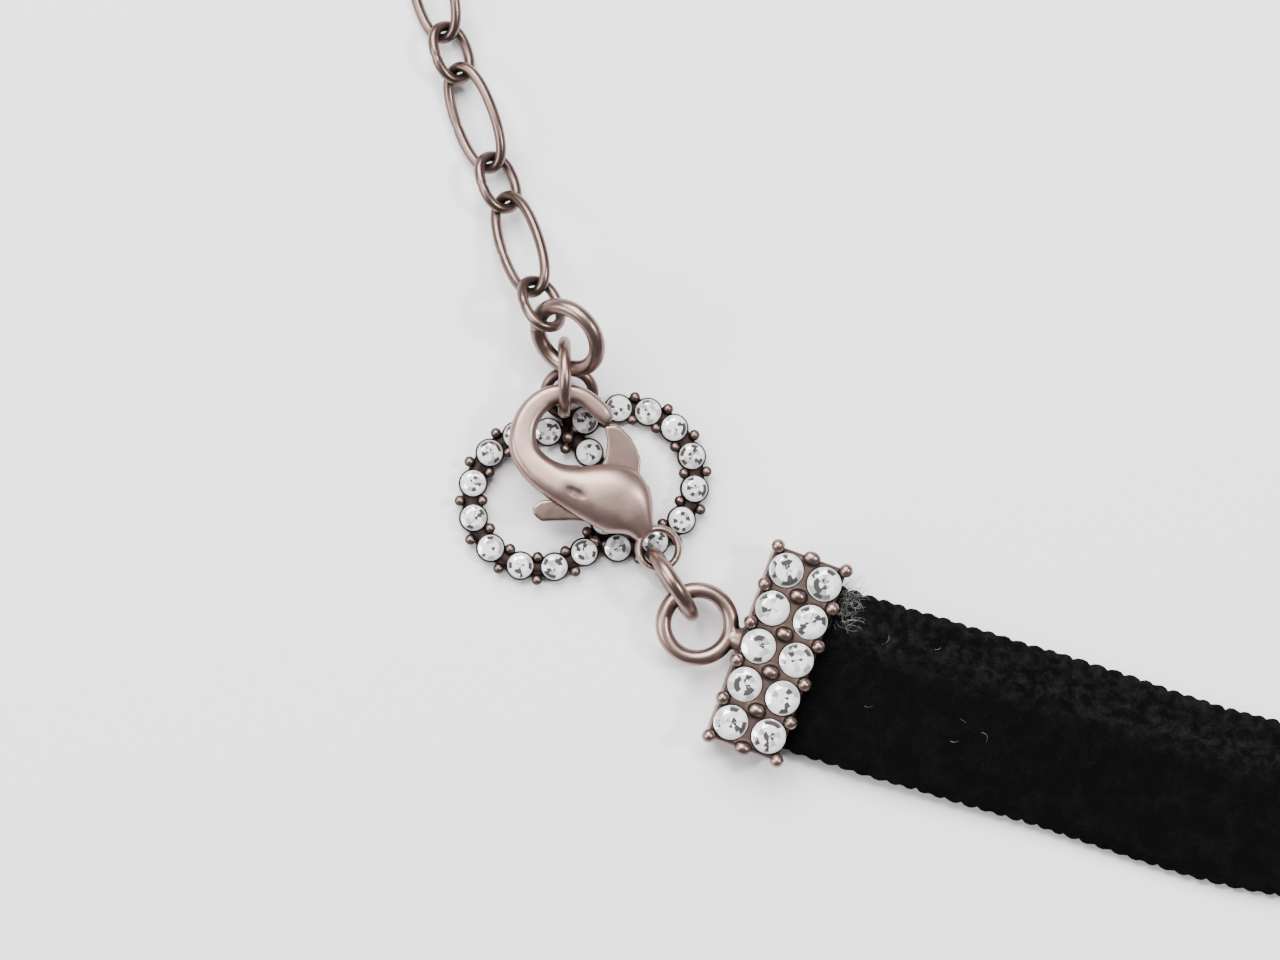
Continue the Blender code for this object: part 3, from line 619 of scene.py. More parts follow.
def antique_silver(kind="rubbed"):
    """Silver with a warm cast: rubbed bright on plain pieces, darkened between the stones and in
    hollows by oxide and by painted shade.
    """
    name = "antique_silver_" + kind
    known = bpy.data.materials.get(name)
    if known:
        return known
    sizes = settings().silver
    reach, low, middle, high = {"cap": (0.9, 0.50, 0.72, 0.93), "charm": (0.9, 0.50, 0.72, 0.93),
                                "chain": (0.8, 0.30, 0.62, 0.95)}.get(kind, (0.8, 0.25, 0.50, 0.82))
    recipe = Recipe(name)
    where = recipe.coordinates()
    # Ambient occlusion darkens hollows and places close to other parts: oxide in the hollows, painted
    # shade between parts
    occlusion = recipe.node('AmbientOcclusion', {"samples": 8}, {"Distance": reach * MM}, output=1)
    cloud = recipe.noise(where, 420, 4, 0.6)
    grain = recipe.noise(where, 2600, 3, 0.6)
    rubbed_and_unshaded = recipe.ramp(occlusion + (grain - 0.5) * 0.22 + (cloud - 0.5) * 0.10,
                            [(low, 0.0), (middle, 0.42), (high, 1.0)])
    if kind in BED_HEIGHTS:
        foot, top, tip = (height * MM for height in BED_HEIGHTS[kind])
        level = recipe.axis(where, 2)
        above = recipe.between(level, top, tip)
        below = recipe.between(level, foot, foot * 0.85)
        # Oxide and painted shade darken the bed between these heights; the charm's bed is darkened most
        dark, light = (0.05, 0.75) if kind == "charm" else (0.26, 0.68)
        rubbed_and_unshaded = rubbed_and_unshaded * (dark + (above + below) * light)
    # Painted shade: the colour darkens in and around the dent of the clasp
    if kind == "clasp":
        dent = layout()["clasp_body"] @ on_clasp(*DENT_SHARES)
        dent.z += 1.2 * MM
        ends = [dent + in_plan(radians(153), shift * MM) for shift in (0.3, -0.3)]
        away = [recipe.vector_math('DISTANCE', where, end, output=1) for end in ends]
        dent_shade_distance = away[0].math('MINIMUM', *away) + (grain - 0.5) * 0.30 * MM
        rubbed_and_unshaded = rubbed_and_unshaded * recipe.between(dent_shade_distance, 0.15 * MM, 0.75 * MM, 0.30)
    shade = {"chain": 0.50, "charm": 0.72, "rubbed": 0.68, "clasp": 0.95}.get(kind, 0.9)
    dull = tuple(c * shade for c in sizes.metal)
    rubbed = recipe.blend(recipe.ramp(cloud, [(0.35, 0.0), (0.68, 1.0)]), dull,
                          tuple(c * f for c, f in zip(dull, (1.24, 1.26, 1.27))))
    colour = recipe.blend(rubbed_and_unshaded, tuple(sizes.tarnish_and_shade), rubbed)
    gloss = (0.38 if kind == "clasp" else 0.31) + (cloud - 0.5) * 0.18 + (1 - rubbed_and_unshaded) * 0.26
    scratches = recipe.noise(recipe.stretched(where, (900, 9000, 5000), (0.4, 0.3, 0.7)), 1.0)
    relief = recipe.bump(recipe.noise(where, 1500, 3, 0.55), 0.16, 0.05 * MM)
    relief = recipe.bump(scratches, 0.10, 0.02 * MM, relief)
    return recipe.finish(Base_Color=colour, Roughness=gloss, Metallic=1.0, Normal=relief)


def cut_crystal():
    """Foil-backed crystal: bright, with the dark star of its back facets, both painted into its colour
    as reflections, and a painted grey reflection at its rim.
    """
    known = bpy.data.materials.get("cut_crystal_foil")
    if known:
        return known
    recipe = Recipe("cut_crystal_foil")
    flat = recipe.coordinates("UV")
    from_middle = recipe.vector_math('SUBTRACT', flat, (0.5, 0.5, 0.0))
    x, y = recipe.axis(from_middle, 0), recipe.axis(from_middle, 1)
    turn = x.math('ARCTAN2', y, x)
    radius = recipe.vector_math('LENGTH', from_middle, output=1) * 2
    number = recipe.node('Attribute', {"attribute_name": "stone_number"}, output=2) + 0.5
    ring = (radius * 3.1).math('FLOOR', radius * 3.1)
    sector = turn * (10 / (2 * pi)) + ring * 0.5 + radius * 0.55
    sector, number = sector.math('FLOOR', sector), number.math('FLOOR', number)
    facet = recipe.node('CombineXYZ', {}, {0: sector, 1: ring, 2: number})
    chance = recipe.node('TexWhiteNoise', {"noise_dimensions": '3D'}, {"Vector": facet})
    # Painted reflection: each facet gets a random dark, grey or white tone, and the rim a grey one
    facet_reflection = recipe.ramp(chance, [(0.0, 0.03), (0.22, 0.035), (0.24, 0.34), (0.38, 0.50), (0.41, 0.90),
                                (1.0, 1.0)])
    rim_reflection = recipe.ramp(radius, [(0.0, 0.0), (0.86, 0.0), (0.96, 0.75)])
    colour = recipe.blend(facet_reflection, (0.022, 0.020, 0.019), (1.0, 1.0, 1.0))
    colour = recipe.blend(rim_reflection, colour, (0.62, 0.60, 0.60))
    return recipe.finish(Base_Color=colour, Roughness=0.06, Metallic=0.12 + facet_reflection * 0.16,
                         Coat_Weight=1.0, Coat_Roughness=0.02, IOR=1.56)


def velvet_pile():
    """Black cut pile with brushed clumps, and painted sheen: a paler streak along one edge and paler
    pile tips.
    """
    sizes = settings().ribbon
    recipe = Recipe("velvet_pile")
    where = recipe.coordinates()
    strip = recipe.coordinates("UV")
    clumps = recipe.noise(where, 700, 4, 0.65, 0.4)
    strokes = recipe.noise(recipe.stretched(strip, (420, 16, 1)), 1.0, 4, 0.6, 0.3)
    # Painted sheen: a paler band of brushed strokes near one edge, fainter at the other
    band = recipe.ramp(recipe.axis(strip, 1), [(0.0, 0.35), (0.05, 0.0), (0.60, 0.0), (0.78, 0.85),
                                               (0.90, 0.55), (0.96, 0.75)])
    brushed_sheen = band * recipe.ramp(strokes, [(0.42, 0.0), (0.70, 1.0)])
    pale = tuple(c * 4.0 + 0.006 for c in sizes.pile)
    fuzz = recipe.noise(where, 9000, 2, 0.7)
    # Painted sheen on the pile tips
    tip_sheen = recipe.ramp(fuzz, [(0.50, 0.0), (0.68, 1.0)]) * (0.25 + brushed_sheen * 0.9)
    colour = recipe.blend(brushed_sheen * 0.65 + (clumps - 0.5) * 0.55 + tip_sheen * 0.45, tuple(sizes.pile), pale)
    relief = recipe.bump(clumps, 0.5, 0.25 * MM)
    relief = recipe.bump(fuzz, 0.9, 0.10 * MM, relief)
    return recipe.finish(Base_Color=colour, Roughness=0.97, Normal=relief, Sheen_Weight=0.015,
                         Sheen_Roughness=0.4, Sheen_Tint=(0.5, 0.49, 0.5), Specular_IOR_Level=0.02)


def woven_back():
    """Black ribbed weave of the back and the edges."""
    recipe = Recipe("woven_back")
    where = recipe.stretched(recipe.coordinates("UV"), (305, 10, 1))
    ribs = recipe.node('TexWave', {"bands_direction": 'X'},
                       {"Vector": where, "Scale": 1.1, "Distortion": 0.4, "Detail": 2.0})
    threads = recipe.node('TexWave', {"bands_direction": 'Y'},
                          {"Vector": where, "Scale": 1.6, "Distortion": 0.3, "Detail": 1.0})
    weave = ribs * 0.6 + threads * 0.4
    colour = recipe.blend(weave, (0.002, 0.002, 0.0021), (0.012, 0.0115, 0.012))
    return recipe.finish(Base_Color=colour, Roughness=0.62, Normal=recipe.bump(weave, 0.7, 0.12 * MM),
                         Sheen_Weight=0.02, Specular_IOR_Level=0.12)


def frayed_fibre():
    sizes = settings().ribbon
    recipe = Recipe("frayed_fibre")
    mottle = recipe.noise(recipe.coordinates(), 1600, 3)
    colour = recipe.blend(recipe.ramp(mottle, [(0.35, 0.0), (0.70, 1.0)]),
                          (0.012, 0.012, 0.013), tuple(sizes.lint))
    return recipe.finish(Base_Color=colour, Roughness=0.9, Sheen_Weight=0.1)


# Stones

def cut_stone(diameter):
    """A round brilliant, cut facet by facet from a blank, with its girdle at height 0."""
    bpy.ops.mesh.primitive_cylinder_add(vertices=48, radius=1, depth=2.4)
    stone = newest("stone_blank")
    facets = [(Vector((0, 0, 0.30)), (0, 0, 1))]
    for i in range(8):
        for turn, slope, reach, height in ((i, 35, 1.0, 0.035), (i + 0.5, 20, 0.56, 0.30),
                                           (i + 0.25, 41, 1.0, 0.06), (i + 0.75, 41, 1.0, 0.06)):
            heading = turn * pi / 4
            facets.append((Vector((reach * cos(heading), reach * sin(heading), height)),
                           aimed(heading, radians(slope))))
        heading = i * pi / 4
        tip = radians(35)
        facets.append((Vector((cos(heading), sin(heading), -0.03)),
                       (sin(tip) * cos(heading), sin(tip) * sin(heading), -cos(tip))))
    select_only(stone)
    bpy.ops.object.mode_set(mode='EDIT')
    for point, normal in facets:
        select_whole()
        bpy.ops.mesh.bisect(plane_co=point, plane_no=normal, use_fill=True, clear_outer=True,
                            threshold=1e-5)
    select_whole()
    face_outwards()
    bpy.ops.object.mode_set(mode='OBJECT')
    stone.scale = [diameter / 2] * 3
    settle(stone)
    sheet = stone.data.uv_layers.active or stone.data.uv_layers.new(name="stone_top")
    for loop in stone.data.loops:
        spot = stone.data.vertices[loop.vertex_index].co
        sheet.data[loop.index].uv = (spot.x / diameter + 0.5, spot.y / diameter + 0.5)
    stone.data.shade_flat()
    return stone


def set_stone(blank, name, place, number):
    """A copy of the cut stone in its seat, numbered so that its painted facet reflections are its own.
    """
    made = copied(blank, name, place)
    mark = made.data.attributes.new("stone_number", 'FLOAT', 'POINT')
    mark.data.foreach_set("value", [number] * len(made.data.vertices))
    return made


def seat_cutters(name, diameter, spots, girdle):
    """Conical seats, one under each stone, as one cutter."""
    bpy.ops.mesh.primitive_cone_add(vertices=32, radius1=0, radius2=diameter / 2 + 0.03 * MM,
                                    depth=0.36 * diameter, location=(0, 0, -0.18 * diameter))
    cone = settle(newest(name))
    upwards = {"value": (0, 0, diameter)}
    edit(cone, lambda co: co.z > -1e-6,
         lambda: bpy.ops.mesh.extrude_region_move(TRANSFORM_OT_translate=upwards))
    tools = [copied(cone, name, moved((x, y, girdle - 0.06 * MM))) for x, y in spots]
    discard(cone)
    return joined(name, tools)


# Pieces

def wire_ring(name, radius, wire, seam=0.0):
    """A closed jump ring with the fine groove of its joint."""
    return waist(torus(name, radius, wire / 2, 120, 20),
                 lambda co: abs(atan2(co.y, co.x) - seam) < 0.02, in_plan(seam, radius))


class CHOKER_OT_rings(Operator):
    """Model the jump rings, the hook ring and the ring at the end of the chain"""
    bl_idname = "choker.rings"
    bl_label = "Rings"

    def execute(self, context):
        spots = layout()
        for node, (radius, wire, seam) in WIRE_RINGS.items():
            made = settle(wire_ring(node + "_wire", radius * MM, wire * MM, seam), spots[node])
            made.data.shade_smooth()
            dress(made, antique_silver(), "choker", node)
        return {'FINISHED'}


class CHOKER_OT_chain(Operator):
    """Model the short and long links of the extender chain"""
    bl_idname = "choker.chain"
    bl_label = "Extender Chain"

    def execute(self, context):
        wire = settings().silver.link_wire
        kinds = []
        for i in (0, 1):
            length, width = link_lengths(i)
            bpy.ops.curve.primitive_bezier_circle_add(radius=1)
            blank = newest(f"link_blank_{i}")
            blank.scale = ((length - wire) / 2, (width - wire) / 2, 1)
            settle(blank)
            for point in blank.data.splines[0].bezier_points:
                point.handle_left_type = point.handle_right_type = 'FREE'
                point.radius = 1
                middle = point.co.copy()
                point.handle_left = middle + (point.handle_left - middle) * 1.14
                point.handle_right = middle + (point.handle_right - middle) * 1.14
            blank.data.bevel_depth = wire / 2
            blank.data.bevel_resolution = 5
            blank.data.resolution_u = 16
            select_only(blank)
            bpy.ops.object.convert(target='MESH')
            blank = newest(f"link_blank_{i}")
            joint = Vector((0, (width - wire) / 2, 0))
            kinds.append(waist(blank, lambda co: abs(co.x) < wire / 60 and co.y > 0, joint))
        for i, place in enumerate(layout()["links"]):
            node = f"chain_link_{i + 1:02d}"
            made = copied(kinds[i % 2], node + "_wire", place)
            made.data.shade_smooth()
            dress(made, antique_silver("chain"), "choker", node)
        discard(*kinds)
        return {'FINISHED'}


class CHOKER_OT_clasp(Operator):
    """Model the cast body of the lobster clasp with its slot, pin and tail ring"""
    bl_idname = "choker.clasp"
    bl_label = "Clasp Body"

    def execute(self, context):
        length = settings().silver.clasp_length
        thickness = settings().silver.clasp_thickness
        spine = [on_clasp(row[0], row[1]) for row in CLASP_ROWS]
        loops = []
        for i, (_, _, width, thick) in enumerate(CLASP_ROWS):
            ahead = spine[min(i + 2, len(spine) - 1)] - spine[max(i - 2, 0)]
            bpy.ops.mesh.primitive_plane_add(size=1)
            loop = newest("clasp_section")
            corner = 0.30 if thick < 0.85 else 0.40
            edit(loop, everywhere,
                 lambda: bpy.ops.mesh.bevel(affect='VERTICES', offset=corner, segments=5),
                 select_whole, lambda: bpy.ops.mesh.delete(type='ONLY_FACE'))
            loop.scale = (width * length, thick * thickness, 1)
            settle(loop)
            loop.rotation_euler = (pi / 2, 0, atan2(ahead.y, ahead.x) + pi / 2)
            loop.location = spine[i]
            loops.append(settle(loop))
        body = edit(joined("clasp_body_cast", loops), everywhere, select_whole,
                    bpy.ops.mesh.bridge_edge_loops, select_whole,
                    lambda: bpy.ops.mesh.fill_holes(sides=0), face_outwards)
        modify(body, 'SUBSURF', levels=2, render_levels=2)

        outline = bpy.data.curves.new("clasp_slot", 'CURVE')
        outline.dimensions = '2D'
        outline.fill_mode = 'BOTH'
        outline.extrude = 0.6 * MM
        spline = outline.splines.new('POLY')
        spline.points.add(len(SLOT_SHARES) - 1)
        for point, shares in zip(spline.points, SLOT_SHARES):
            point.co = (*on_clasp(*shares), 1)
        spline.use_cyclic_u = True
        carve(body, modify(meshed(outline, "clasp_slot"), 'WELD', merge_threshold=1e-6))

        dent = bead("dent", (0, 0, 0), (2.2, 0.84, 0.90))
        settle(dent, moved(on_clasp(*DENT_SHARES) + Vector((0, 0, 1.57 * MM)))
               @ turned(radians(18)))
        carve(body, dent)
        pivot = on_clasp(*PIVOT_SHARES)
        bpy.ops.mesh.primitive_cylinder_add(vertices=32, radius=0.4 * MM, depth=thickness * 0.75,
                                            location=pivot)
        pin = settle(newest("clasp_pin"))
        tail = torus("clasp_tail", *TAIL_RING, 64, 16)
        tail.scale.z = 0.9 / 0.425
        settle(tail)
        body = joined("clasp_body_cast", [body, pin, tail])
        melt(body, 0.055 * MM)
        polish(body, 7, 0.5)
        settle(body, layout()["clasp_body"])
        dress(body, antique_silver("clasp"), "choker", "clasp_body")
        return {'FINISHED'}


class CHOKER_OT_lever(Operator):
    """Round the edges of the lever of the clasp, with its gate and thumb tab"""
    bl_idname = "choker.lever"
    bl_label = "Clasp Lever"

    def execute(self, context):
        lever = copied(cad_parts["clasp_lever"], "clasp_lever_cast", Matrix.Identity(4))
        edit(lever, everywhere, lambda: bpy.ops.mesh.remove_doubles(threshold=1e-6), face_outwards)
        melt(lever, 0.040 * MM)
        polish(lever, 44, 0.5)
        dress(lever, antique_silver(), "lever", "clasp_lever")
        return {'FINISHED'}


class CHOKER_OT_caps(Operator):
    """Model the two crimped end caps with their beads, grains and stone seats"""
    bl_idname = "choker.caps"
    bl_label = "End Caps"

    def execute(self, context):
        sizes = settings().silver
        half, height, pitch = sizes.cap_depth / 2, sizes.cap_height, sizes.cap_pitch
        wide = 2.5 * pitch + 0.05 * MM
        cap = box("cap_block", (-half, -wide, 0), (half, wide, height))
        modify(cap, 'BEVEL', width=0.32 * MM, segments=3, limit_method='NONE')
        pocket = box("cap_pocket", (-half + 1.0 * MM, -5.3 * MM, 0.55 * MM),
                     (half * 3, 5.3 * MM, 1.95 * MM))
        carve(cap, pocket)
        arches = []
        for i in range(5):
            for side in (-1, 1):
                arches.append(bead("arch", (side * (half + 0.06 * MM), (i - 2) * pitch, 1.75 * MM),
                                   (0.62, 1.55, 1.5) if side < 0 else (0.4, 1.4, 0.8)))
        for arch in arches[1::2]:
            arch.data.transform(moved((0, 0, 0.62 * MM)))
        carve(cap, joined("arches", arches))

        grains = []
        for i in range(6):
            v = (i - 2.5) * pitch
            for side in (-1, 1):
                grains.append(bead("prong", (side * (half - 0.10 * MM), v, height + 0.10 * MM),
                                   (0.82, 0.82, 0.82)))
                grains.append(bead("prong_foot", (side * (half - 0.14 * MM), v, height - 0.85 * MM),
                                   (0.62, 0.72, 2.3)))
            grains.append(bead("grain", (0, v, height + 0.04 * MM), (1.05, 0.8, 0.72)))
        ring_height = 1.9 * MM
        ring = settle(torus("cap_ring", *CAP_RING, 80, 20, location=(CAP_RING_PLACE, 0, ring_height)))
        bpy.ops.mesh.primitive_cone_add(vertices=24, radius1=0.46 * MM, radius2=1.0 * MM,
                                        depth=1.15 * MM, rotation=(0, pi / 2, 0),
                                        location=(-half - 0.12 * MM, 0, ring_height))
        neck = settle(newest("cap_neck"))
        cap = joined("cap_block", [cap, ring, neck] + grains)
        melt(cap, 0.06 * MM)
        spots = [((row - 0.5) * pitch, (column - 2) * pitch)
                 for row in range(2) for column in range(5)]
        carve(cap, seat_cutters("cap_seats", sizes.cap_stone, spots, height + GIRDLE_RISE))
        melt(cap, 0.06 * MM)
        polish(cap, 4, 0.45)
        places = layout()
        for node in ("end_cap_clasp", "end_cap_chain"):
            made = copied(cap, node + "_cast", places[node])
            dress(made, antique_silver("cap"), "choker", node)
        discard(cap)
        return {'FINISHED'}


class CHOKER_OT_stones(Operator):
    """Cut the crystals of the end caps and set them in their seats"""
    bl_idname = "choker.stones"
    bl_label = "Cap Crystals"

    def execute(self, context):
        sizes = settings().silver
        blank = cut_stone(sizes.cap_stone)
        chance = random.Random(11)
        places = layout()
        for cap, prefix in (("end_cap_clasp", "clasp_cap_stone"), ("end_cap_chain", "chain_cap_stone")):
            for number in range(10):
                row, column = divmod(number, 5)
                spot = ((row - 0.5) * sizes.cap_pitch, (column - 2) * sizes.cap_pitch,
                        sizes.cap_height + GIRDLE_RISE)
                node = f"{prefix}_{number + 1:02d}"
                lean = Matrix.Rotation(radians(chance.uniform(-3, 3)), 4, 'X')
                lean = lean @ turned(chance.uniform(0, 2 * pi))
                seat = places[cap] @ moved(spot)
                made = set_stone(blank, node + "_cut", seat @ lean, number)
                dress(made, cut_crystal(), "choker", node)
        discard(blank)
        return {'FINISHED'}


class CHOKER_OT_charm(Operator):
    """Model the two crossing rings of the charm, their cups, beads, crystals and bail"""
    bl_idname = "choker.charm"
    bl_label = "Double-Ring Charm"

    def execute(self, context):
        sizes = settings().silver
        band, stone = sizes.charm_band, sizes.charm_stone
        height = CHARM_HEIGHT
        girdle = height + GIRDLE_RISE
        left, right = Vector((0, 0, 0)), Vector((RING_SPACING, 0, 0))
        shapes, spots = [], []
        for middle, radius, turns in ((left, LEFT_RADIUS, LEFT_STONES),
                                      (right, RIGHT_RADIUS, RIGHT_STONES)):
            band_ring = torus("charm_band", radius, 0.55 * MM, 96, 16,
                              location=(middle.x, middle.y, height * 0.45))
            band_ring.scale.z = 0.72
            settle(band_ring)
            if middle is right:
                edit(band_ring, lambda co: hypot(co.x, co.y) < 3.75 * MM,
                     lambda: bpy.ops.mesh.delete(type='VERT'))
                edit(band_ring, lambda co: False, lambda: bpy.ops.mesh.select_non_manifold(),
                     lambda: bpy.ops.mesh.fill())
            shapes.append(band_ring)
            for turn, following in zip(turns, turns[1:] + turns[:1]):
                spot = middle + in_plan(radians(turn), radius)
                spots.append((spot.x, spot.y))
                shapes.append(bead("cup", (spot.x, spot.y, height * 0.62), (1.76, 1.76, 1.05)))
                between = radians(turn + ((following - turn) % 360) / 2)
                for side in (-1, 1):
                    dot = middle + in_plan(between, radius + side * (band / 2 - 0.06 * MM))
                    if middle is right and (dot - left).length < 4.2 * MM:
                        continue
                    shapes.append(bead("bead", (dot.x, dot.y, height - 0.06 * MM), [0.64] * 3))
                    shapes.append(bead("bead_foot", (dot.x, dot.y, height * 0.5), (0.46, 0.46, 0.85)))
        for side in (-1, 1):
            shapes.append(bead("bead", charm_crossing(side) + Vector((0, 0, girdle)), [0.70] * 3))
        shapes.append(bead("lug", charm_lug(), [0.9] * 3))
        charm = joined("charm_cast", shapes)
        places = layout()
        bail = settle(torus("charm_bail", *BAIL_RING, 64, 16),
                      places["charm"].inverted() @ places["bail"])
        charm = joined("charm_cast", [charm, bail])
        melt(charm, 0.05 * MM)
        modify(charm, 'SMOOTH', factor=0.5, iterations=3)
        carve(charm, seat_cutters("charm_seats", stone, spots, girdle))
        melt(charm, 0.05 * MM)
        polish(charm, 3, 0.45)
        settle(charm, places["charm"])

        blank = cut_stone(stone)
        chance = random.Random(5)
        stones = []
        for number, (x, y) in enumerate(spots):
            lean = Matrix.Rotation(radians(chance.uniform(-4, 4)), 4, 'Y')
            lean = lean @ turned(chance.uniform(0, 2 * pi))
            seat = places["charm"] @ moved((x, y, girdle))
            stones.append(set_stone(blank, "charm_stone", seat @ lean, number + 10))
        discard(blank)
        stones = joined("charm_crystals", stones)
        dress(charm, antique_silver("charm"), "choker", "charm")
        dress(stones, cut_crystal(), "choker")
        return {'FINISHED'}


def smooth_course(points, step):
    """Evenly spaced points along a smooth curve through the points given."""
    dense = []
    ends = [points[0] * 2 - points[1]] + points + [points[-1] * 2 - points[-2]]
    for p0, p1, p2, p3 in zip(ends, ends[1:], ends[2:], ends[3:]):
        pieces = max(2, round((p2 - p1).length / (step / 2)))
        for i in range(pieces):
            t = i / pieces
            dense.append(0.5 * (2 * p1 + (p2 - p0) * t + (2 * p0 - 5 * p1 + 4 * p2 - p3) * t ** 2
                                + (3 * p1 - p0 - 3 * p2 + p3) * t ** 3))
    dense.append(points[-1])
    lengths = [0.0]
    for one, two in zip(dense, dense[1:]):
        lengths.append(lengths[-1] + (two - one).length)
    count = max(2, round(lengths[-1] / step))
    even = []
    k = 0
    for i in range(count + 1):
        target = lengths[-1] * i / count
        while k < len(dense) - 2 and lengths[k + 1] < target:
            k += 1
        share = (target - lengths[k]) / (lengths[k + 1] - lengths[k])
        even.append(dense[k].lerp(dense[k + 1], share))
    return even, lengths[-1]


def ease(value):
    value = min(max(value, 0.0), 1.0)
    return value * value * (3 - 2 * value)


def hang(run):
    """Height of the ribbon over its resting place, at a run from its end in the cap."""
    return RIBBON_DROP * (1 - ease((run - CAP_RUN) / DROP_RUN))


class CHOKER_OT_ribbon(Operator):
    """Lay the velvet ribbon on its course from cap to cap, with its looped edges"""
    bl_idname = "choker.ribbon"
    bl_label = "Velvet Ribbon"

    def execute(self, context):
        sizes = settings().ribbon
        places = layout()

        def at_cap(node, x):
            return (places[node] @ Vector((x * MM, 0, 0))).to_2d()

        route = [at_cap("end_cap_clasp", -0.9), at_cap("end_cap_clasp", 4.4)]
        route += [mm(*point).to_2d() for point in RIBBON_COURSE]
        route += [at_cap("end_cap_chain", x) for x in (10, 4.4, -0.9)]
        course, length = smooth_course(route, 0.25 * MM)
        rows, columns = len(course), 26
        bpy.ops.mesh.primitive_grid_add(x_subdivisions=rows - 1, y_subdivisions=columns, size=2)
        ribbon = newest("velvet_ribbon_cloth")
        pile = ribbon.vertex_groups.new(name="pile")
        for corner in ribbon.data.vertices:
            i = round((corner.co.x + 1) / 2 * (rows - 1))
            share = corner.co.y
            run = length * i / (rows - 1)
            from_end = min(run, length - run)
            ahead = (course[min(i + 1, rows - 1)] - course[max(i - 1, 0)]).normalized()
            flat = 34 * MM if run < length / 2 else 10 * MM
            roll = pi / 2 * ease((from_end - flat) / (42 * MM))
            left = Vector((-ahead.y, ahead.x, 0))
            across = left * cos(roll) + Vector((0, 0, sin(roll)))
            resting = sizes.width / 2 * sin(roll) + sizes.thickness / 2 * cos(roll) + RIBBON_LIFT
            height = resting + hang(from_end)
            edge = max(0.0, (abs(share) - 0.90) / 0.10)
            wander = noise.noise(Vector((run * 260, share * 3, 0)))
            notch = abs(sin(pi * run / sizes.loop_pitch + (0 if share > 0 else 1.1) + wander * 0.7))
            depth = edge * (1 - notch ** 0.7) * sizes.loop_depth
            reach = sizes.width / 2 * share - depth * (1 if share > 0 else -1)
            swell = noise.noise(Vector((run * 500, share * 6, 3))) * 0.05 * MM * (1 - edge)
            normal = ahead.to_3d().cross(across)
            corner.co = (course[i].to_3d() + Vector((0, 0, height + CENTRE.z)) + across * reach
                         + normal * (swell - edge * 0.12 * MM))
            pile.add([corner.index], 1 - 0.38 * edge * (1.2 - 0.5 * notch), 'REPLACE')
        ribbon.data.materials.append(velvet_pile())
        ribbon.data.materials.append(woven_back())
        modify(ribbon, 'SOLIDIFY', thickness=sizes.thickness, offset=0, vertex_group="pile",
               material_offset=1, material_offset_rim=1)
        ribbon.data.shade_smooth()
        dress(ribbon, None, "choker", "velvet_ribbon")
        return {'FINISHED'}


class CHOKER_OT_fray(Operator):
    """Add the frayed fibres where the velvet leaves the cap, and specks of lint"""
    bl_idname = "choker.fray"
    bl_label = "Frayed Fibres"

    def execute(self, context):
        chance = random.Random(23)
        cap = layout()["end_cap_clasp"]
        fluff = bpy.data.curves.new("velvet_fray", 'CURVE')
        fluff.dimensions = '3D'
        fluff.bevel_depth = 0.011 * MM
        fluff.bevel_resolution = 0

        def fibre(start, heading, rise, length, curl):
            spline = fluff.splines.new('POLY')
            spline.points.add(5)
            spot = start
            for k, point in enumerate(spline.points):
                point.co = (*(cap @ spot), 1)
                point.radius = 1 - 0.12 * k
                heading += curl * chance.uniform(0.4, 1.4) / 5
                ahead = Vector((cos(heading) * cos(rise), sin(heading) * cos(rise), sin(rise)))
                spot = spot + ahead * (length / 5)

        for _ in range(settings().ribbon.fibres):
            start = Vector((chance.uniform(2.25, 3.4), chance.uniform(2.7, 4.9), 0)) * MM
            start.z = 1.72 * MM + chance.uniform(0, 0.25) * MM
            fibre(start, chance.uniform(-1.2, 2.0), chance.uniform(0.0, 0.5),
                  chance.uniform(0.5, 1.3) * MM, chance.uniform(-2.5, 2.5))
        for _ in range(9):
            start = Vector((chance.uniform(2.3, 3.3), chance.uniform(4.4, 4.9), 1.8)) * MM
            fibre(start, chance.uniform(0.7, 1.5), chance.uniform(0.1, 0.5),
                  chance.uniform(1.1, 2.1) * MM, chance.uniform(-0.7, 0.7))
        for x, y in LINT:
            on_pile = RIBBON_LIFT + hang((x + 0.9) * MM) + settings().ribbon.thickness + 0.05 * MM
            fibre(Vector((x * MM, y * MM, on_pile)), chance.uniform(-0.6, 0.6), 0.0,
                  chance.uniform(0.35, 0.8) * MM, chance.uniform(-2.0, 2.0))
        dress(meshed(fluff, "velvet_fray"), frayed_fibre(), "choker")
        return {'FINISHED'}


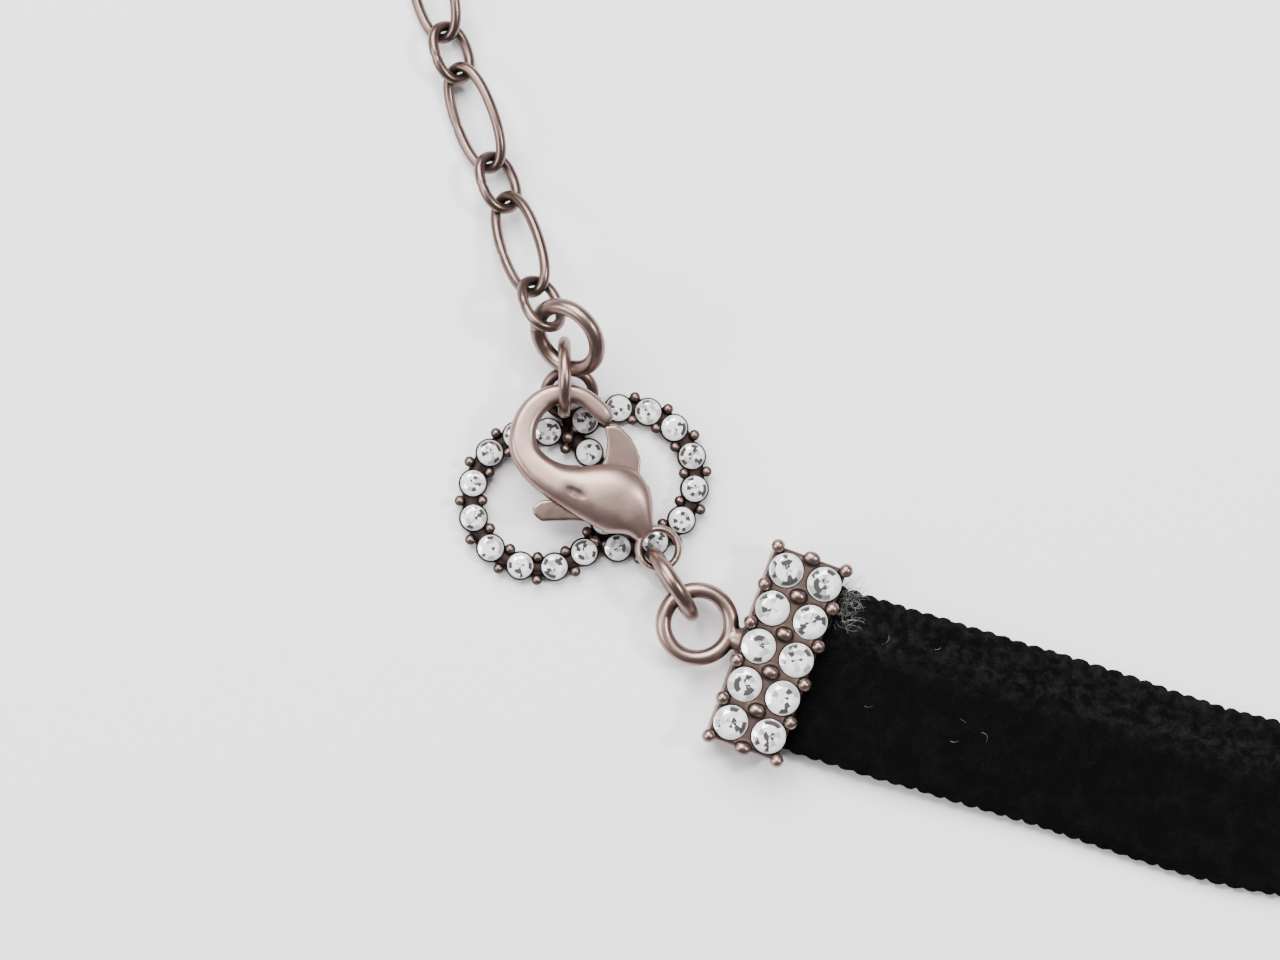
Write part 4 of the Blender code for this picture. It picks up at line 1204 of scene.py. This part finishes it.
class CHOKER_OT_stage(Operator):
    """Set the pale floor, the soft studio lights and the camera"""
    bl_idname = "choker.stage"
    bl_label = "Stage"

    def execute(self, context):
        sizes = settings().stage
        bpy.ops.object.select_all(action='DESELECT')
        bpy.ops.mesh.primitive_plane_add(size=8, location=(0, 0, -0.02 * MM))
        floor = settle(newest("pale_floor"))
        recipe = Recipe("pale_floor")
        cloud = recipe.noise(recipe.coordinates(), 30, 3)
        shade = recipe.blend(cloud, tuple(sizes.floor), tuple(c * 0.985 for c in sizes.floor))
        floor.data.materials.append(
            recipe.finish(Base_Color=shade, Roughness=0.85, Specular_IOR_Level=0.2))

        world = bpy.data.worlds.new("studio")
        bpy.context.scene.world = world
        world.use_nodes = True
        back = world.node_tree.nodes["Background"]
        back.inputs["Color"].default_value = (0.80, 0.80, 0.84, 1)
        back.inputs["Strength"].default_value = 0.31

        aim = mm(0, 0, 2.0)
        for name, place, size, power in (("top_softbox", (-0.10, 0.28, 0.42), 0.40, 8.4),
                                         ("side_softbox", (-0.42, -0.05, 0.30), 0.25, 2.2),
                                         ("strip_light", (0.22, 0.02, 0.30), 0.05, 1.0)):
            bpy.ops.object.light_add(type='AREA', location=aim + Vector(place))
            light = newest(name)
            light.data.size = size
            light.data.energy = power
            light.rotation_euler = (-Vector(place)).to_track_quat('-Z', 'Y').to_euler()

        lean = Matrix.Rotation(radians(45), 3, 'Z') @ Vector((-sin(sizes.lean), 0, 0))
        spot = aim + Vector((lean.x, lean.y, cos(sizes.lean))) * sizes.distance
        bpy.ops.object.camera_add(location=spot)
        camera = newest("camera")
        look = (aim - spot).normalized()
        side = look.cross(Vector((0, 1, 0))).normalized()
        camera.matrix_world = moved(spot) @ Matrix(
            (side, side.cross(look), -look)).transposed().to_4x4()
        camera.data.sensor_width = 36
        camera.data.lens = 36 * sizes.distance / sizes.view_width
        camera.data.clip_start = 0.005
        bpy.context.scene.camera = camera
        return {'FINISHED'}


class CHOKER_PT_panel(bpy.types.Panel):
    bl_label = "Velvet Choker"
    bl_idname = "CHOKER_PT_panel"
    bl_space_type = 'VIEW_3D'
    bl_region_type = 'UI'
    bl_category = "Choker"

    def draw(self, context):
        rows = self.layout.column()
        choker = context.scene.choker
        for group in (choker.ribbon, choker.silver, choker.stage):
            for key in group.__annotations__:
                rows.prop(group, key)
        for step in OPERATORS:
            rows.operator(step.bl_idname)


OPERATORS = (CHOKER_OT_stage, CHOKER_OT_caps, CHOKER_OT_stones, CHOKER_OT_rings, CHOKER_OT_clasp,
             CHOKER_OT_lever, CHOKER_OT_charm, CHOKER_OT_chain, CHOKER_OT_ribbon, CHOKER_OT_fray)
CLASSES = (RibbonSizes, SilverSizes, StageSizes, ChokerSettings) + OPERATORS + (CHOKER_PT_panel,)


def register():
    for item in CLASSES:
        bpy.utils.register_class(item)
    bpy.types.Scene.choker = PointerProperty(type=ChokerSettings)


def unregister():
    del bpy.types.Scene.choker
    for item in reversed(CLASSES):
        bpy.utils.unregister_class(item)


def main():
    register()
    bpy.ops.choker.stage()
    bpy.ops.choker.caps()
    bpy.ops.choker.stones()
    bpy.ops.choker.rings()
    bpy.ops.choker.clasp()
    bpy.ops.choker.lever()
    bpy.ops.choker.charm()
    bpy.ops.choker.chain()
    bpy.ops.choker.ribbon()
    bpy.ops.choker.fray()


if __name__ == "__main__":
    main()
